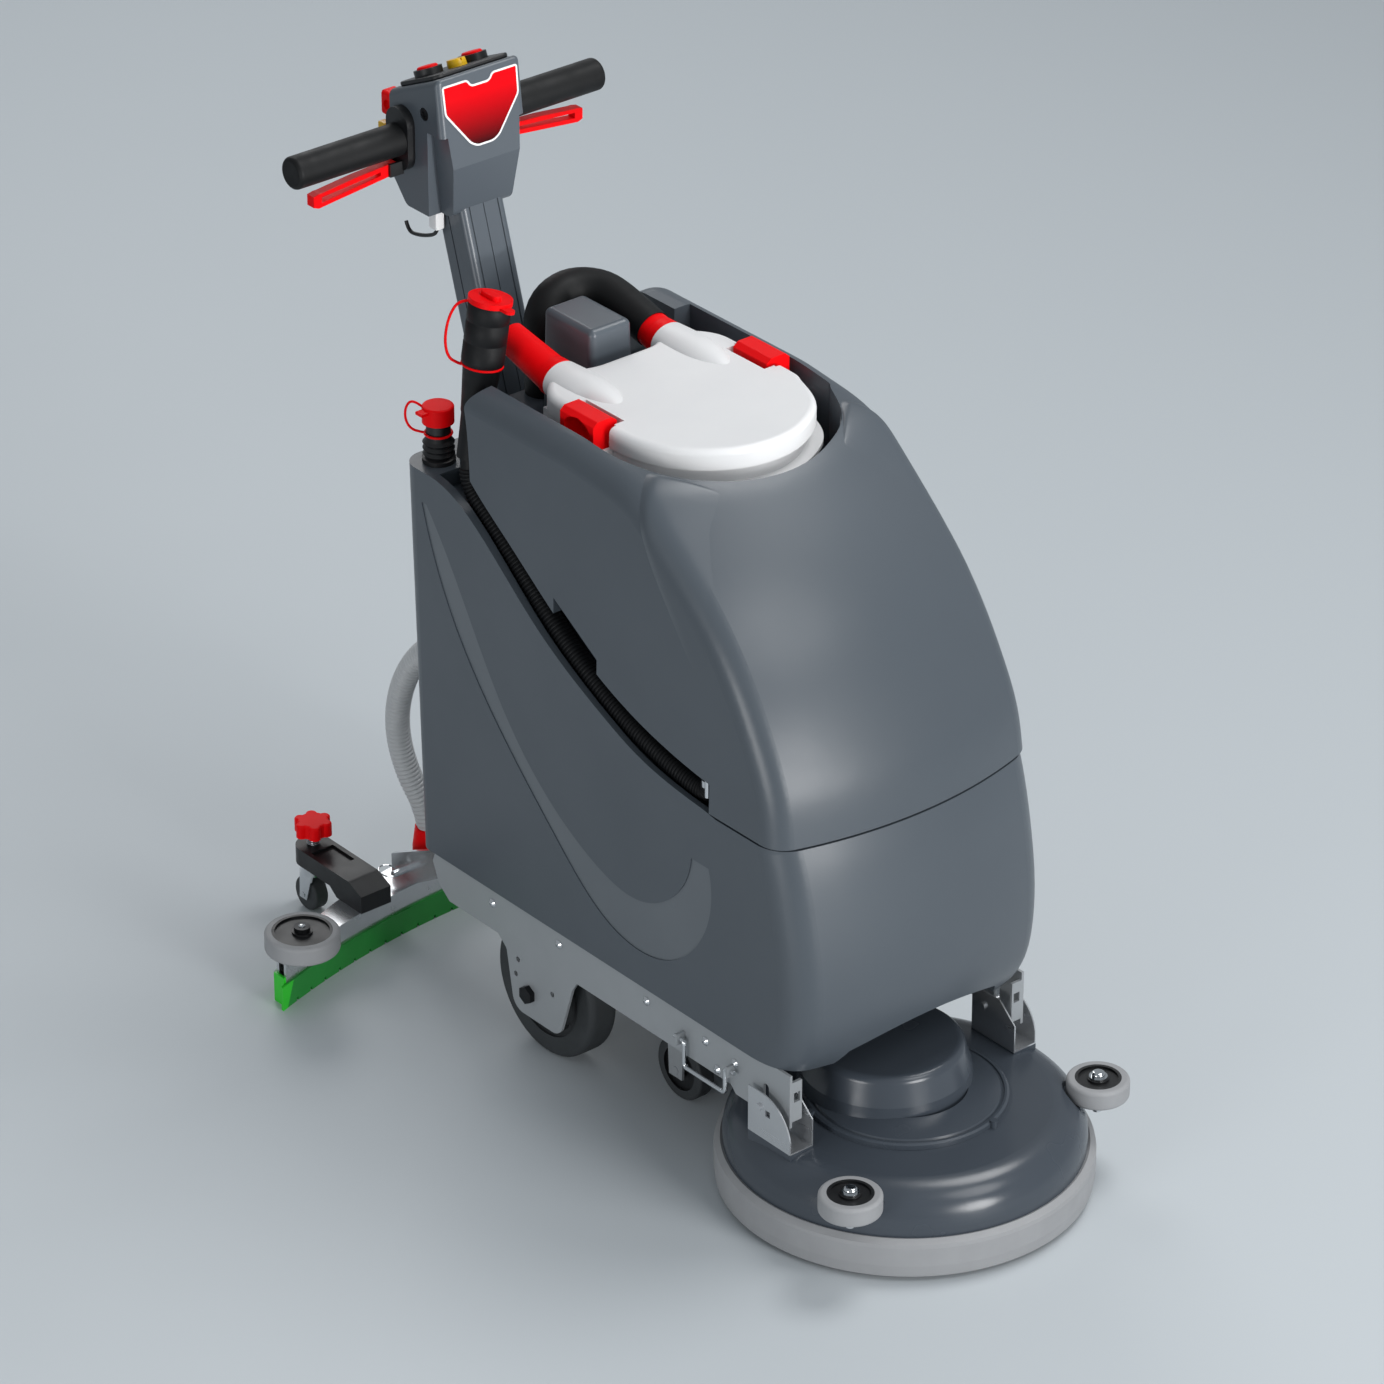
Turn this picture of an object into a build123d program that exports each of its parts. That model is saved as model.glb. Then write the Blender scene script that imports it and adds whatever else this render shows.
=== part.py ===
from build123d import *
import os
from math import asin, cos, degrees, radians, sin, sqrt, tan

os.makedirs("parts", exist_ok=True)

# Walk-behind floor scrubber, millimetres. X runs across (the left side is positive), Y to the rear,
# Z up, and the origin is the middle of the footprint on the floor.

# Overall sizes
OVERALL_LENGTH = 1290.0
SKIRT_RADIUS = 245.0
BODY_HALF_WIDTH = 210.0
FLOOR_OF_TANK_Z = 230.0
SEAM_Z = 548.0
SHELF_Z = 803.0
REAR_Y = OVERALL_LENGTH / 2
DECK_Y = SKIRT_RADIUS - OVERALL_LENGTH / 2

# Clearances
GAP = 0.4
RUNNING = 0.05
BOND = 0.05
SEAM_GAP = 3.0


def back(distance):
    """Y of a point this far behind the brush axis."""
    return DECK_Y + distance


def write(piece, name):
    """Label a finished piece and write its own file."""
    piece.part.label = name
    export_step(piece.part, f"parts/{name}.step")


def side_plane(x):
    """Upright fore-and-aft plane at x: its X is Y to the rear, its Y is Z up."""
    return Plane(origin=(x, 0, 0), x_dir=(0, 1, 0), z_dir=(1, 0, 0))


def route_radii(points):
    """Bend radius for each corner of a route, from its shorter run and its turn."""
    radii = []
    for before, corner, after in zip(points, points[1:], points[2:]):
        first = Vector(*corner) - Vector(*before)
        second = Vector(*after) - Vector(*corner)
        turn = radians(max(first.get_angle(second), 0.5))
        radii.append(0.45 * min(first.length, second.length) / tan(turn / 2))
    return radii


# The body is a round-fronted dome cut to a long rounded plan.
NOSE_RADIUS = 625.0
NOSE_Y = back(-22)
DOME_Y = NOSE_Y + NOSE_RADIUS
TANK_REAR_Y = back(747)
HOOD_REAR_Y = back(745)
CORNER_RADIUS = 48.0
REAR_CORNER = 20.0
SIDE_DRAFT = 1.0
DOME_PLANE = Plane(origin=(0, DOME_Y, 0), x_dir=(0, -1, 0), z_dir=(-1, 0, 0))
DOME_AXIS = Axis((0, DOME_Y, 0), (0, 0, 1))

# Upper edge of the solution tank along the side, as distance behind the brush axis and height
TANK_EDGE = [(690, SHELF_Z), (600, 766), (470, 665), (340, 596), (150, SEAM_Z + 4)]
# Lower edge of the hood along the side
HOOD_EDGE = [(652, 846), (614, 811), (554, 770), (467, 711), (365, 652), (294, 624), (196, 600), (141, 592)]
HOOD_EDGE_REAR_Z = HOOD_EDGE[0][1]
HOOD_STEP_Y = back(HOOD_EDGE[-1][0])
HOOD_BOTTOM_Z = SEAM_Z + SEAM_GAP
LEDGE_DROP = 24.0
LEDGE_FRONT_Y = back(128)
RIM_LIP = 8.0

# Chassis and wheels
PLATE_X = BODY_HALF_WIDTH - 13
PLATE_T = 4.0
PLATE_BOTTOM_Z = 163.0
WHEEL_Y = back(525)
WHEEL_RADIUS = 100.0
WHEEL_OUTER_X = PLATE_X - 25
WHEEL_CLEAR = 12.0
WHEEL_WIDTH = 45.0
AXLE_RADIUS = 10.0
JOCKEY_X = 95.0
JOCKEY_Y = back(325)
JOCKEY_RADIUS = 45.0
JOCKEY_WIDTH = 24.0
JOCKEY_AXLE = 6.0
CROSS_BOTTOM_Z = 170.0

# Brush deck
DECK_RADIUS = 234.0
DECK_TOP_Z = 121.0
DECK_WALL = 6.0
SKIRT_BOTTOM_Z = 8.0
BUMPER_X = 209.0
BUMPER_Y = back(-134.5)
BUMPER_RADIUS = 41.0
BUMPER_BOTTOM_Z = 103.0
BUMPER_TOP_Z = 130.0
BUMPER_BOLT = 6.0
BRACKET_X = PLATE_X + 11
BRACKET_WIDTH = 38.0
BRACKET_Z = DECK_TOP_Z + 3
MOTOR_LIP_RADIUS = 132.0
MOTOR_Y = back(40)
MOTOR_TOP_Z = 190.0
ARCH_HALF_WIDTH = 134.0
ARCH_TOP_Z = 275.0
DECK_LIFT = 24.0
DECK_PIN = 5.0
DECK_PIN_Y = back(43)
DECK_PIN_Z = BRACKET_Z + 44
HUB_RADIUS = 20.0

# Squeegee
BLADE_RADIUS = 1165.0
BLADE_CENTRE_Y = back(-271)
CHANNEL_DEPTH = 60.0
CHANNEL_END_DEPTH = 17.0
CHANNEL_TOP_Z = 66.0
BLADE_T = 4.0
BLADE_TIP_X = 379.0
ROLLER_X = 338.0
ROLLER_RADIUS = 51.0
ROLLER_BOTTOM_Z = 79.0
ROLLER_TOP_Z = 107.0
ROLLER_BOLT = 6.0
ARM_X = 187.0
ARM_TOP_Z = 104.0
ARM_BOTTOM_Z = 78.0
CASTER_RADIUS = 25.0
CASTER_TRAIL = 8.0
CASTER_WIDTH = 22.0
KNOB_Y = REAR_Y - CASTER_RADIUS - CASTER_TRAIL
HITCH_Y = back(712)
HITCH_Z = 192.0
HITCH_PIN = 8.0
HITCH_X = 105.0
PORT_X = -55.0
PORT_RADIUS = 20.0
HOSE_RADIUS = 17.0
HOSE_BORE = 13.0

# Handle
COLUMN_LEAN = 17.0
COLUMN_PIVOT_Y = back(727)
COLUMN_PIVOT_Z = 560.0
COLUMN_HALF_WIDTH = 35.0
COLUMN_DEPTH = 58.0
COLUMN_LENGTH = 530.0
COLUMN_WALL = 5.0
PIVOT_PIN = 9.0
SLOT_HALF_WIDTH = 48.0
HEAD_HALF_WIDTH = 68.0
HEAD_REAR_Y = back(957)
GRIP_Y = back(927)
GRIP_Z = 1154.0
GRIP_RADIUS = 22.0
GRIP_END_X = 250.0
BAR_RADIUS = 12.0
COLLAR_T = 12.0
TRIGGER_PIVOT_X = 90.0
TRIGGER_PIVOT_DROP = 36.0
TRIGGER_PIN = 4.0
TRIGGER_WIDTH = 14.0
PANEL_T = 6.0
BUTTON_X = 36.0
BUTTON_RADIUS = 14.0

# Lid, separator and hoses on the hood
RECESS_HALF_WIDTH = BODY_HALF_WIDTH - 38
RECESS_FRONT_Y = back(240)
RECESS_FLOOR_Z = 850.0
LID_HALF_WIDTH = RECESS_HALF_WIDTH - 30
LID_FRONT_Y = back(262)
LID_REAR_Y = back(580)
LID_BOTTOM_Z = 928.0
LID_TOP_Z = 956.0
LATCH_Y = back(460)
LATCH_LENGTH = 66.0
LATCH_PIN = 4.0
LATCH_PIN_OUT = 8.0
LID_PORT_X = 88.0
LID_PORT_Z = 944.0
DRAIN_FOOT = Vector(30 - BODY_HALF_WIDTH, back(653), 836)
DRAIN_HEAD = Vector(62 - BODY_HALF_WIDTH, back(648), 1046)
DRAIN_X = 25 - BODY_HALF_WIDTH
FILLER_X = 32 - BODY_HALF_WIDTH
FILLER_Y = back(722)
FILLER_RADIUS = 16.0
FILLER_TOP_Z = SHELF_Z + 72
SUCTION_PORT = (-108.0, back(722))

# Chassis: two folded side plates with wheel lugs, joined by cross members and the hitch pin
with BuildPart() as chassis:
    with BuildSketch(side_plane(-PLATE_X)) as outline:
        with BuildLine():
            Polyline(
                (back(-3), FLOOR_OF_TANK_Z), (back(722), FLOOR_OF_TANK_Z), (back(729), 210),
                (back(716), 180), (back(694), PLATE_BOTTOM_Z), (back(590), PLATE_BOTTOM_Z),
                (back(572), 148), (back(557), 64), (back(461), 64), (back(434), 148),
                (back(424), PLATE_BOTTOM_Z), (back(112), PLATE_BOTTOM_Z), (back(102), 153),
                (back(-3), 153), close=True,
            )
        make_face()
        fillet(outline.vertices().filter_by(lambda v: v.Y < 100), 22)
        fillet(outline.vertices().filter_by(lambda v: 100 < v.Y < 149), 10)
        with Locations((WHEEL_Y, WHEEL_RADIUS)):
            Circle(AXLE_RADIUS, mode=Mode.SUBTRACT)
        with Locations((back(476), 122), (back(553), 118), (back(548), 142)):
            Circle(4, mode=Mode.SUBTRACT)
        with Locations((DECK_PIN_Y, DECK_PIN_Z + DECK_LIFT / 2)):
            slot_width = 2 * (DECK_PIN + GAP)
            SlotOverall(DECK_LIFT + slot_width, slot_width, rotation=90, mode=Mode.SUBTRACT)
    extrude(amount=PLATE_T)
    with BuildSketch(Plane.XZ.offset(-back(-3))) as flange:
        with Locations((-PLATE_X + 10, 190)):
            Rectangle(20, 58)
        with Locations((-PLATE_X + 12, 196)):
            Rectangle(10, 14, mode=Mode.SUBTRACT)
    extrude(amount=-PLATE_T)
    with Locations((-PLATE_X + 20, back(360), FLOOR_OF_TANK_Z - 2)):
        Box(40, 680, 4)
    mirror(about=Plane.YZ)
    with Locations((0, JOCKEY_Y, CROSS_BOTTOM_Z + 14)):
        Box(2 * (PLATE_X - PLATE_T), 44, 28)
    with Locations((0, back(670), 200)):
        Box(2 * (PLATE_X - PLATE_T), 30, 44)
    for x in (-HITCH_X - 26, HITCH_X + 26):
        with Locations((x, back(704), HITCH_Z)):
            Box(8, 44, 34)
    with Locations(Location((0, WHEEL_Y, WHEEL_RADIUS), (0, 90, 0))):
        Cylinder(WHEEL_RADIUS + WHEEL_CLEAR, 2 * (WHEEL_OUTER_X + 3), mode=Mode.SUBTRACT)
    with Locations(Location((0, HITCH_Y, HITCH_Z), (0, 90, 0))):
        Cylinder(HITCH_PIN, 2 * (HITCH_X + 30))
    for y in (205, 104):
        with Locations((-PLATE_X - 7, back(y), 190)):
            Box(14, 4, 16)
        with Locations(Location((-PLATE_X - 8, back(y), 190), (90, 0, 0))):
            Cylinder(3 + RUNNING, 10, mode=Mode.SUBTRACT)
write(chassis, "chassis_frame")

# Wire bail hung in two ears on the right side plate
BAIL_X = -PLATE_X - 8
bail_route = [
    (BAIL_X, back(214), 190), (BAIL_X, back(195), 190), (BAIL_X, back(195), 152),
    (BAIL_X, back(114), 152), (BAIL_X, back(114), 190), (BAIL_X, back(95), 190),
]
with BuildPart() as bail:
    with BuildLine():
        wire = FilletPolyline(*bail_route, radius=6)
    with BuildSketch(Plane(origin=wire @ 0, z_dir=wire % 0)):
        Circle(3)
    sweep()
write(bail, "plate_bail")

# Axle through both lugs, with hex ends outside and a collar inside each lug
with BuildPart() as axle:
    with Locations(Location((0, WHEEL_Y, WHEEL_RADIUS), (0, 90, 0))):
        Cylinder(AXLE_RADIUS, 2 * PLATE_X)
    for sign in (-1, 1):
        with BuildSketch(Plane(origin=(sign * PLATE_X, WHEEL_Y, WHEEL_RADIUS), z_dir=(sign, 0, 0))):
            RegularPolygon(13, 6)
        extrude(amount=8)
        collar_length = PLATE_X - PLATE_T - WHEEL_OUTER_X - GAP
        collar_x = sign * (WHEEL_OUTER_X + GAP + collar_length / 2)
        with Locations(Location((collar_x, WHEEL_Y, WHEEL_RADIUS), (0, 90, 0))):
            Cylinder(AXLE_RADIUS + 6, collar_length)
write(axle, "wheel_axle")

# Main wheels: a rounded tyre bonded on a dished hub
for side, sign in (("right", -1), ("left", 1)):
    middle_x = sign * (WHEEL_OUTER_X - WHEEL_WIDTH / 2)
    spin = Axis((0, WHEEL_Y, WHEEL_RADIUS), (1, 0, 0))
    section = Plane(origin=(middle_x, WHEEL_Y, WHEEL_RADIUS), x_dir=(1, 0, 0), z_dir=(0, -1, 0))
    half = WHEEL_WIDTH / 2
    rim = WHEEL_RADIUS - 30
    with BuildPart() as wheel:
        with BuildSketch(section) as tyre:
            with Locations((0, (WHEEL_RADIUS + rim + BOND) / 2)):
                Rectangle(WHEEL_WIDTH, WHEEL_RADIUS - rim - BOND)
            fillet(tyre.vertices().group_by(Axis.Y)[-1], 9)
        revolve(axis=spin)
        with BuildSketch(section):
            with BuildLine():
                Polyline(
                    (-half + 2, rim), (half - 2, rim), (half - 2, rim - 8), (half - 12, rim - 12),
                    (half - 12, 26), (half, 22), (half, AXLE_RADIUS + RUNNING),
                    (-half, AXLE_RADIUS + RUNNING), (-half, 22), (-half + 12, 26),
                    (-half + 12, rim - 12), (-half + 2, rim - 8), close=True,
                )
            make_face()
        revolve(axis=spin)
    write(wheel, f"main_wheel_{side}")

# Front support wheels in folded forks under the front cross member
with BuildPart() as forks:
    for sign in (-1, 1):
        with Locations((sign * JOCKEY_X, JOCKEY_Y, CROSS_BOTTOM_Z - 2)):
            Box(JOCKEY_WIDTH + 16, 44, 4)
        for cheek in (-1, 1):
            cheek_x = sign * JOCKEY_X + cheek * (JOCKEY_WIDTH / 2 + 4)
            with BuildSketch(side_plane(cheek_x - 2)):
                with BuildLine():
                    Polyline(
                        (JOCKEY_Y - 20, CROSS_BOTTOM_Z - 2), (JOCKEY_Y + 20, CROSS_BOTTOM_Z - 2),
                        (JOCKEY_Y + 13, JOCKEY_RADIUS - 10), (JOCKEY_Y - 13, JOCKEY_RADIUS - 10),
                        close=True,
                    )
                make_face()
            extrude(amount=4)
        with Locations(Location((sign * JOCKEY_X, JOCKEY_Y, JOCKEY_RADIUS), (0, 90, 0))):
            Cylinder(JOCKEY_AXLE, JOCKEY_WIDTH + 14)
write(forks, "support_forks")

for side, sign in (("right", -1), ("left", 1)):
    with BuildPart() as support_wheel:
        with Locations(Location((sign * JOCKEY_X, JOCKEY_Y, JOCKEY_RADIUS), (0, 90, 0))):
            Cylinder(JOCKEY_RADIUS, JOCKEY_WIDTH)
            Cylinder(JOCKEY_RADIUS - 14, JOCKEY_WIDTH + 2, mode=Mode.SUBTRACT)
            Cylinder(JOCKEY_RADIUS - 13, JOCKEY_WIDTH - 8)
            Cylinder(12, JOCKEY_WIDTH + 2)
            Cylinder(JOCKEY_AXLE + RUNNING, JOCKEY_WIDTH + 4, mode=Mode.SUBTRACT)
        fillet(support_wheel.edges().filter_by(GeomType.CIRCLE).sort_by(SortBy.RADIUS)[-2:], 4)
    write(support_wheel, f"support_wheel_{side}")

# Solution tank: domed front and drafted plan, cut along the sweeping side edge
STRIPE_OUTER = [(714, 758), (653, 604), (450, 372), (330, 289), (240, 290), (165, 350), (143, 470)]
STRIPE_INNER = [(177, 470), (207, 404), (286, 358), (378, 375), (539, 499), (657, 689), (704, 758)]
STRIPE_DEPTH = 1.6
TANK_FOOT_HALF = BODY_HALF_WIDTH - (SEAM_Z - FLOOR_OF_TANK_Z) * tan(radians(SIDE_DRAFT))


def plan_outline(half_width, rear_y, corner):
    """Long plan with rounded rear corners; the dome shapes the front."""
    front_y = NOSE_Y - 80
    with BuildSketch() as plan:
        with Locations((0, (front_y + rear_y) / 2)):
            Rectangle(2 * half_width, rear_y - front_y)
        fillet(plan.vertices().group_by(Axis.Y)[-1], corner)
    return plan.sketch


def stripe_face(plane):
    """The leaf-shaped stripe on a side plane whose X runs to the rear or the front."""
    along = plane.x_dir.Y
    outer = [(along * back(y), z - FLOOR_OF_TANK_Z) for y, z in STRIPE_OUTER]
    inner = [(along * back(y), z - FLOOR_OF_TANK_Z) for y, z in STRIPE_INNER]
    with BuildSketch(plane) as stripe:
        with BuildLine():
            Spline(*outer)
            Line(outer[-1], inner[0])
            Spline(*inner)
            Line(inner[-1], outer[0])
        make_face()
    return stripe.sketch


with BuildPart() as tank:
    with BuildSketch(DOME_PLANE):
        with BuildLine():
            front = Spline(
                (NOSE_RADIUS + 6, FLOOR_OF_TANK_Z), (NOSE_RADIUS + 26, 268), (NOSE_RADIUS + 35, 320),
                (NOSE_RADIUS + 35, 380), (NOSE_RADIUS + 25, 450), (NOSE_RADIUS + 8, 523),
                (NOSE_RADIUS, SEAM_Z),
            )
            Polyline(
                (NOSE_RADIUS, SEAM_Z), (NOSE_RADIUS - 40, SHELF_Z + 40), (0, SHELF_Z + 40),
                (0, FLOOR_OF_TANK_Z), (NOSE_RADIUS + 6, FLOOR_OF_TANK_Z),
            )
        make_face()
    revolve(axis=DOME_AXIS)
    extrude(Plane.XY.offset(FLOOR_OF_TANK_Z) * plan_outline(TANK_FOOT_HALF, TANK_REAR_Y, REAR_CORNER),
            amount=SHELF_Z + 40 - FLOOR_OF_TANK_Z, taper=-SIDE_DRAFT, mode=Mode.INTERSECT)
    corner_edges = tank.edges().filter_by(lambda e: e.center().Y < back(120) and abs(e.center().X) > 150
                                          and e.bounding_box().size.Z > 60)
    fillet(corner_edges, CORNER_RADIUS)
    with BuildSketch(Plane.YZ):
        with BuildLine():
            edge = [(back(y), z) for y, z in TANK_EDGE]
            Spline(*edge, tangents=[(-1, -0.1), (-1, -0.08)])
            Polyline(
                edge[-1], (LEDGE_FRONT_Y, SEAM_Z), (back(-200), SEAM_Z), (back(-200), 1000),
                (back(900), 1000), (back(900), SHELF_Z), edge[0],
            )
        make_face()
    extrude(amount=400, both=True, mode=Mode.SUBTRACT)
    with BuildSketch(Plane.YZ):
        with BuildLine():
            ledge = [(back(y), z - LEDGE_DROP) for y, z in TANK_EDGE]
            Spline(*ledge, tangents=[(-1, -0.1), (-1, -0.08)])
            Polyline(
                ledge[-1], (LEDGE_FRONT_Y, SEAM_Z - LEDGE_DROP), (LEDGE_FRONT_Y, 1000),
                (back(690), 1000), ledge[0],
            )
        make_face()
    extrude(amount=BODY_HALF_WIDTH - RIM_LIP, both=True, mode=Mode.SUBTRACT)
    with Locations((0, back(400), 800)):
        Box(330, 470, 2 * (800 - 262), mode=Mode.SUBTRACT)
    with BuildSketch(Plane.XZ.offset(-back(140))):
        with BuildLine():
            shoulder_x = ARCH_HALF_WIDTH - 12
            shoulder_z = ARCH_TOP_Z - 24
            ThreePointArc((-shoulder_x, shoulder_z), (0, ARCH_TOP_Z), (shoulder_x, shoulder_z))
            Polyline(
                (shoulder_x, shoulder_z), (ARCH_HALF_WIDTH, FLOOR_OF_TANK_Z),
                (ARCH_HALF_WIDTH, FLOOR_OF_TANK_Z - 20), (-ARCH_HALF_WIDTH, FLOOR_OF_TANK_Z - 20),
                (-ARCH_HALF_WIDTH, FLOOR_OF_TANK_Z), (-shoulder_x, shoulder_z),
            )
        make_face()
    extrude(amount=300, mode=Mode.SUBTRACT)
    with Locations(Location((0, WHEEL_Y, WHEEL_RADIUS), (0, 90, 0))):
        Cylinder(WHEEL_RADIUS + WHEEL_CLEAR, 2 * (WHEEL_OUTER_X + 3), mode=Mode.SUBTRACT)
    with Locations((0, back(740), 760)):
        Box(2 * SLOT_HALF_WIDTH, 120, 2 * (760 - COLUMN_PIVOT_Z + 42), mode=Mode.SUBTRACT)
    with Locations(Location((0, COLUMN_PIVOT_Y, COLUMN_PIVOT_Z), (0, 90, 0))):
        Cylinder(PIVOT_PIN, 130, mode=Mode.SUBTRACT)
    with Locations((-86, back(672), (HOOD_EDGE_REAR_Z + 700) / 2)):
        Box(36, 30, HOOD_EDGE_REAR_Z - 700)
    with Locations((126, back(712), SHELF_Z)):
        Box(60, 24, 2 * SEAM_GAP)
    with Locations((0, back(70), SEAM_Z)):
        Box(260, 50, 2 * SEAM_GAP)
    with Locations((FILLER_X, FILLER_Y, SHELF_Z)):
        Cylinder(FILLER_RADIUS - 4, 160, mode=Mode.SUBTRACT)
    with Locations((*SUCTION_PORT, SHELF_Z + 5)):
        Cylinder(HOSE_RADIUS + 3, 10)
    with Locations((*SUCTION_PORT, SHELF_Z)):
        Cylinder(HOSE_BORE, 100, mode=Mode.SUBTRACT)
    with Locations(Location((-70, back(752), 480), (90, 0, 0))):
        Cylinder(HOSE_RADIUS + 5, 36)
    with Locations(Location((-70, back(760), 480), (90, 0, 0))):
        Cylinder(HOSE_BORE, 60, mode=Mode.SUBTRACT)
    lean = radians(SIDE_DRAFT)
    for sign in (-1, 1):
        stripe_plane = Plane(
            origin=(sign * (TANK_FOOT_HALF - STRIPE_DEPTH), 0, FLOOR_OF_TANK_Z),
            x_dir=(0, sign, 0), z_dir=(sign * cos(lean), 0, -sin(lean)),
        )
        extrude(stripe_face(stripe_plane), amount=30, mode=Mode.SUBTRACT)
write(tank, "solution_tank")

# Batteries: two blocks side by side on the floor of the tank, with a lid step and two posts each
with BuildPart() as batteries:
    for x in (-82, 82):
        with Locations((x, back(400), 262 + 95)):
            Box(158, 440, 190)
        with Locations((x, back(400), 262 + 195)):
            Box(146, 428, 10)
        with Locations((x, back(220), 468), (x, back(580), 468)):
            Cylinder(9, 16)
write(batteries, "battery_pack")

# Filler neck screwed on the rear shelf, and its push-on cap
with BuildPart() as neck:
    with BuildSketch(Plane.XZ.offset(-FILLER_Y)) as half_neck:
        with BuildLine():
            Polyline(
                (FILLER_X + FILLER_RADIUS - 4, SHELF_Z), (FILLER_X + 22, SHELF_Z),
                (FILLER_X + 22, SHELF_Z + 6),
                *[(FILLER_X + (18 if fold % 2 == 0 else 21), SHELF_Z + 8 + 4 * fold) for fold in range(7)],
                (FILLER_X + FILLER_RADIUS, SHELF_Z + 36), (FILLER_X + FILLER_RADIUS, FILLER_TOP_Z),
                (FILLER_X + FILLER_RADIUS - 4, FILLER_TOP_Z), close=True,
            )
        make_face()
    revolve(axis=Axis((FILLER_X, FILLER_Y, 0), (0, 0, 1)))
write(neck, "filler_neck")

with BuildPart() as filler_cap:
    with Locations((FILLER_X, FILLER_Y, FILLER_TOP_Z + 4)):
        Cylinder(FILLER_RADIUS + 5, 8)
    with Locations((FILLER_X, FILLER_Y, FILLER_TOP_Z - 8)):
        Cylinder(FILLER_RADIUS + 5, 16)
        Cylinder(FILLER_RADIUS + 1 + GAP, 16, mode=Mode.SUBTRACT)
    fillet(filler_cap.edges().group_by(Axis.Z)[-1], 3)
    with Locations((FILLER_X - FILLER_RADIUS - 8, FILLER_Y, FILLER_TOP_Z + 3)):
        Box(14, 14, 4)
write(filler_cap, "filler_cap")

# Column pin with a spacer each side of the column
with BuildPart() as pin:
    with Locations(Location((0, COLUMN_PIVOT_Y, COLUMN_PIVOT_Z), (0, 90, 0))):
        Cylinder(PIVOT_PIN, 2 * SLOT_HALF_WIDTH + 30)
    for sign in (-1, 1):
        spacer = SLOT_HALF_WIDTH - COLUMN_HALF_WIDTH - GAP
        with Locations(Location((sign * (SLOT_HALF_WIDTH - spacer / 2), COLUMN_PIVOT_Y, COLUMN_PIVOT_Z),
                                (0, 90, 0))):
            Cylinder(PIVOT_PIN + 8, spacer)
write(pin, "column_pin")

# Hood: the same dome carried over the top, hollow below, with the lid recess cut in its top
HOOD_DRAFT = 1.5
DOME_PROFILE = [
    (NOSE_RADIUS, HOOD_BOTTOM_Z), (NOSE_RADIUS - 10, 607), (NOSE_RADIUS - 36, 669), (NOSE_RADIUS - 77, 740),
    (NOSE_RADIUS - 119, 795), (NOSE_RADIUS - 175, 850), (NOSE_RADIUS - 232, 898), (NOSE_RADIUS - 280, 930),
    (NOSE_RADIUS - 340, 943), (0, 950),
]
HOOD_WALL = 10.0
# Curtain walls below the hood that close the gap over the ledge
CURTAIN_X = BODY_HALF_WIDTH - 41
CURTAIN_T = 5.0
SHOULDER_RADIUS = 36.0


def dome(shrink):
    """Solid of revolution under the dome profile, shrunk by a wall thickness."""
    rows = [(r - shrink * (1 if r > 0 else 0), z - shrink * (1 if z > 700 else 0)) for r, z in DOME_PROFILE]
    with BuildPart() as solid:
        with BuildSketch(DOME_PLANE):
            with BuildLine():
                Spline(*rows, tangents=[(-0.12, 1), (-1, 0.01)])
                Polyline(rows[-1], (0, HOOD_BOTTOM_Z), rows[0])
            make_face()
        revolve(axis=DOME_AXIS)
    return solid.part


def under_edge():
    """Everything below the lower edge of the hood, across the whole width."""
    edge = [(back(y), z) for y, z in HOOD_EDGE]
    with BuildPart() as solid:
        with BuildSketch(Plane.YZ):
            with BuildLine():
                Line((back(900), HOOD_EDGE_REAR_Z), edge[0])
                Spline(*edge)
                Polyline(edge[-1], (HOOD_STEP_Y, HOOD_BOTTOM_Z - 40), (back(900), HOOD_BOTTOM_Z - 40),
                         (back(900), HOOD_EDGE_REAR_Z))
            make_face()
        extrude(amount=400, both=True)
    return solid.part


def front_curve(half_width, front_y):
    """Oval front of the recess and the lid, from the middle to the left side."""
    shares = [(0.0, 0), (0.30, 7), (0.53, 23), (0.83, 66), (0.96, 113), (1.0, 178)]
    return [(half_width * share, front_y + behind) for share, behind in shares]


def recess_outline(half_width, front_y, rear_y):
    """Plan of the lid recess and of what stands in it: oval front, straight sides."""
    left = front_curve(half_width, front_y)
    right = [(-x, y) for x, y in reversed(left)]
    with BuildSketch() as plan:
        with BuildLine():
            Spline(*right, *left[1:], tangents=[(0, -1), (0, 1)])
            Polyline(left[-1], (half_width, rear_y), (-half_width, rear_y), right[0])
        make_face()
    return plan.sketch


def lid_outline(half_width, front_y, rear_y):
    """Plan of the lid: the same oval front, and a round shoulder at the rear over each port."""
    left = front_curve(half_width, front_y)
    right = [(-x, y) for x, y in reversed(left)]
    shoulder = [
        (half_width, rear_y - 60), (0.94 * half_width, rear_y - 28), (0.79 * half_width, rear_y - 6),
        (0.62 * half_width, rear_y), (0.43 * half_width, rear_y - 6), (0.22 * half_width, rear_y - 12),
    ]
    far_shoulder = [(-x, y) for x, y in shoulder]
    with BuildSketch() as plan:
        with BuildLine():
            Spline(*right, *left[1:], tangents=[(0, -1), (0, 1)])
            Line(left[-1], shoulder[0])
            Spline(*shoulder, tangents=[(0, 1), (-1, 0)])
            Line(shoulder[-1], far_shoulder[-1])
            Spline(*reversed(far_shoulder), tangents=[(-1, 0), (0, -1)])
            Line(far_shoulder[0], right[0])
        make_face()
    return plan.sketch


DRAIN_AXIS = (DRAIN_HEAD - DRAIN_FOOT).normalized()
DRAIN_LENGTH = (DRAIN_HEAD - DRAIN_FOOT).length
DRAIN_PLANE = Plane(origin=DRAIN_FOOT, x_dir=(0, 1, 0), z_dir=DRAIN_AXIS)
DRAIN_CUFF_RADIUS = 28.0
DRAIN_RADIUS = 14.0
DRAIN_BORE = DRAIN_RADIUS - 5
DRAIN_SPIGOT_Y = back(163)
DRAIN_SPIGOT_Z = 592.0

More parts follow.
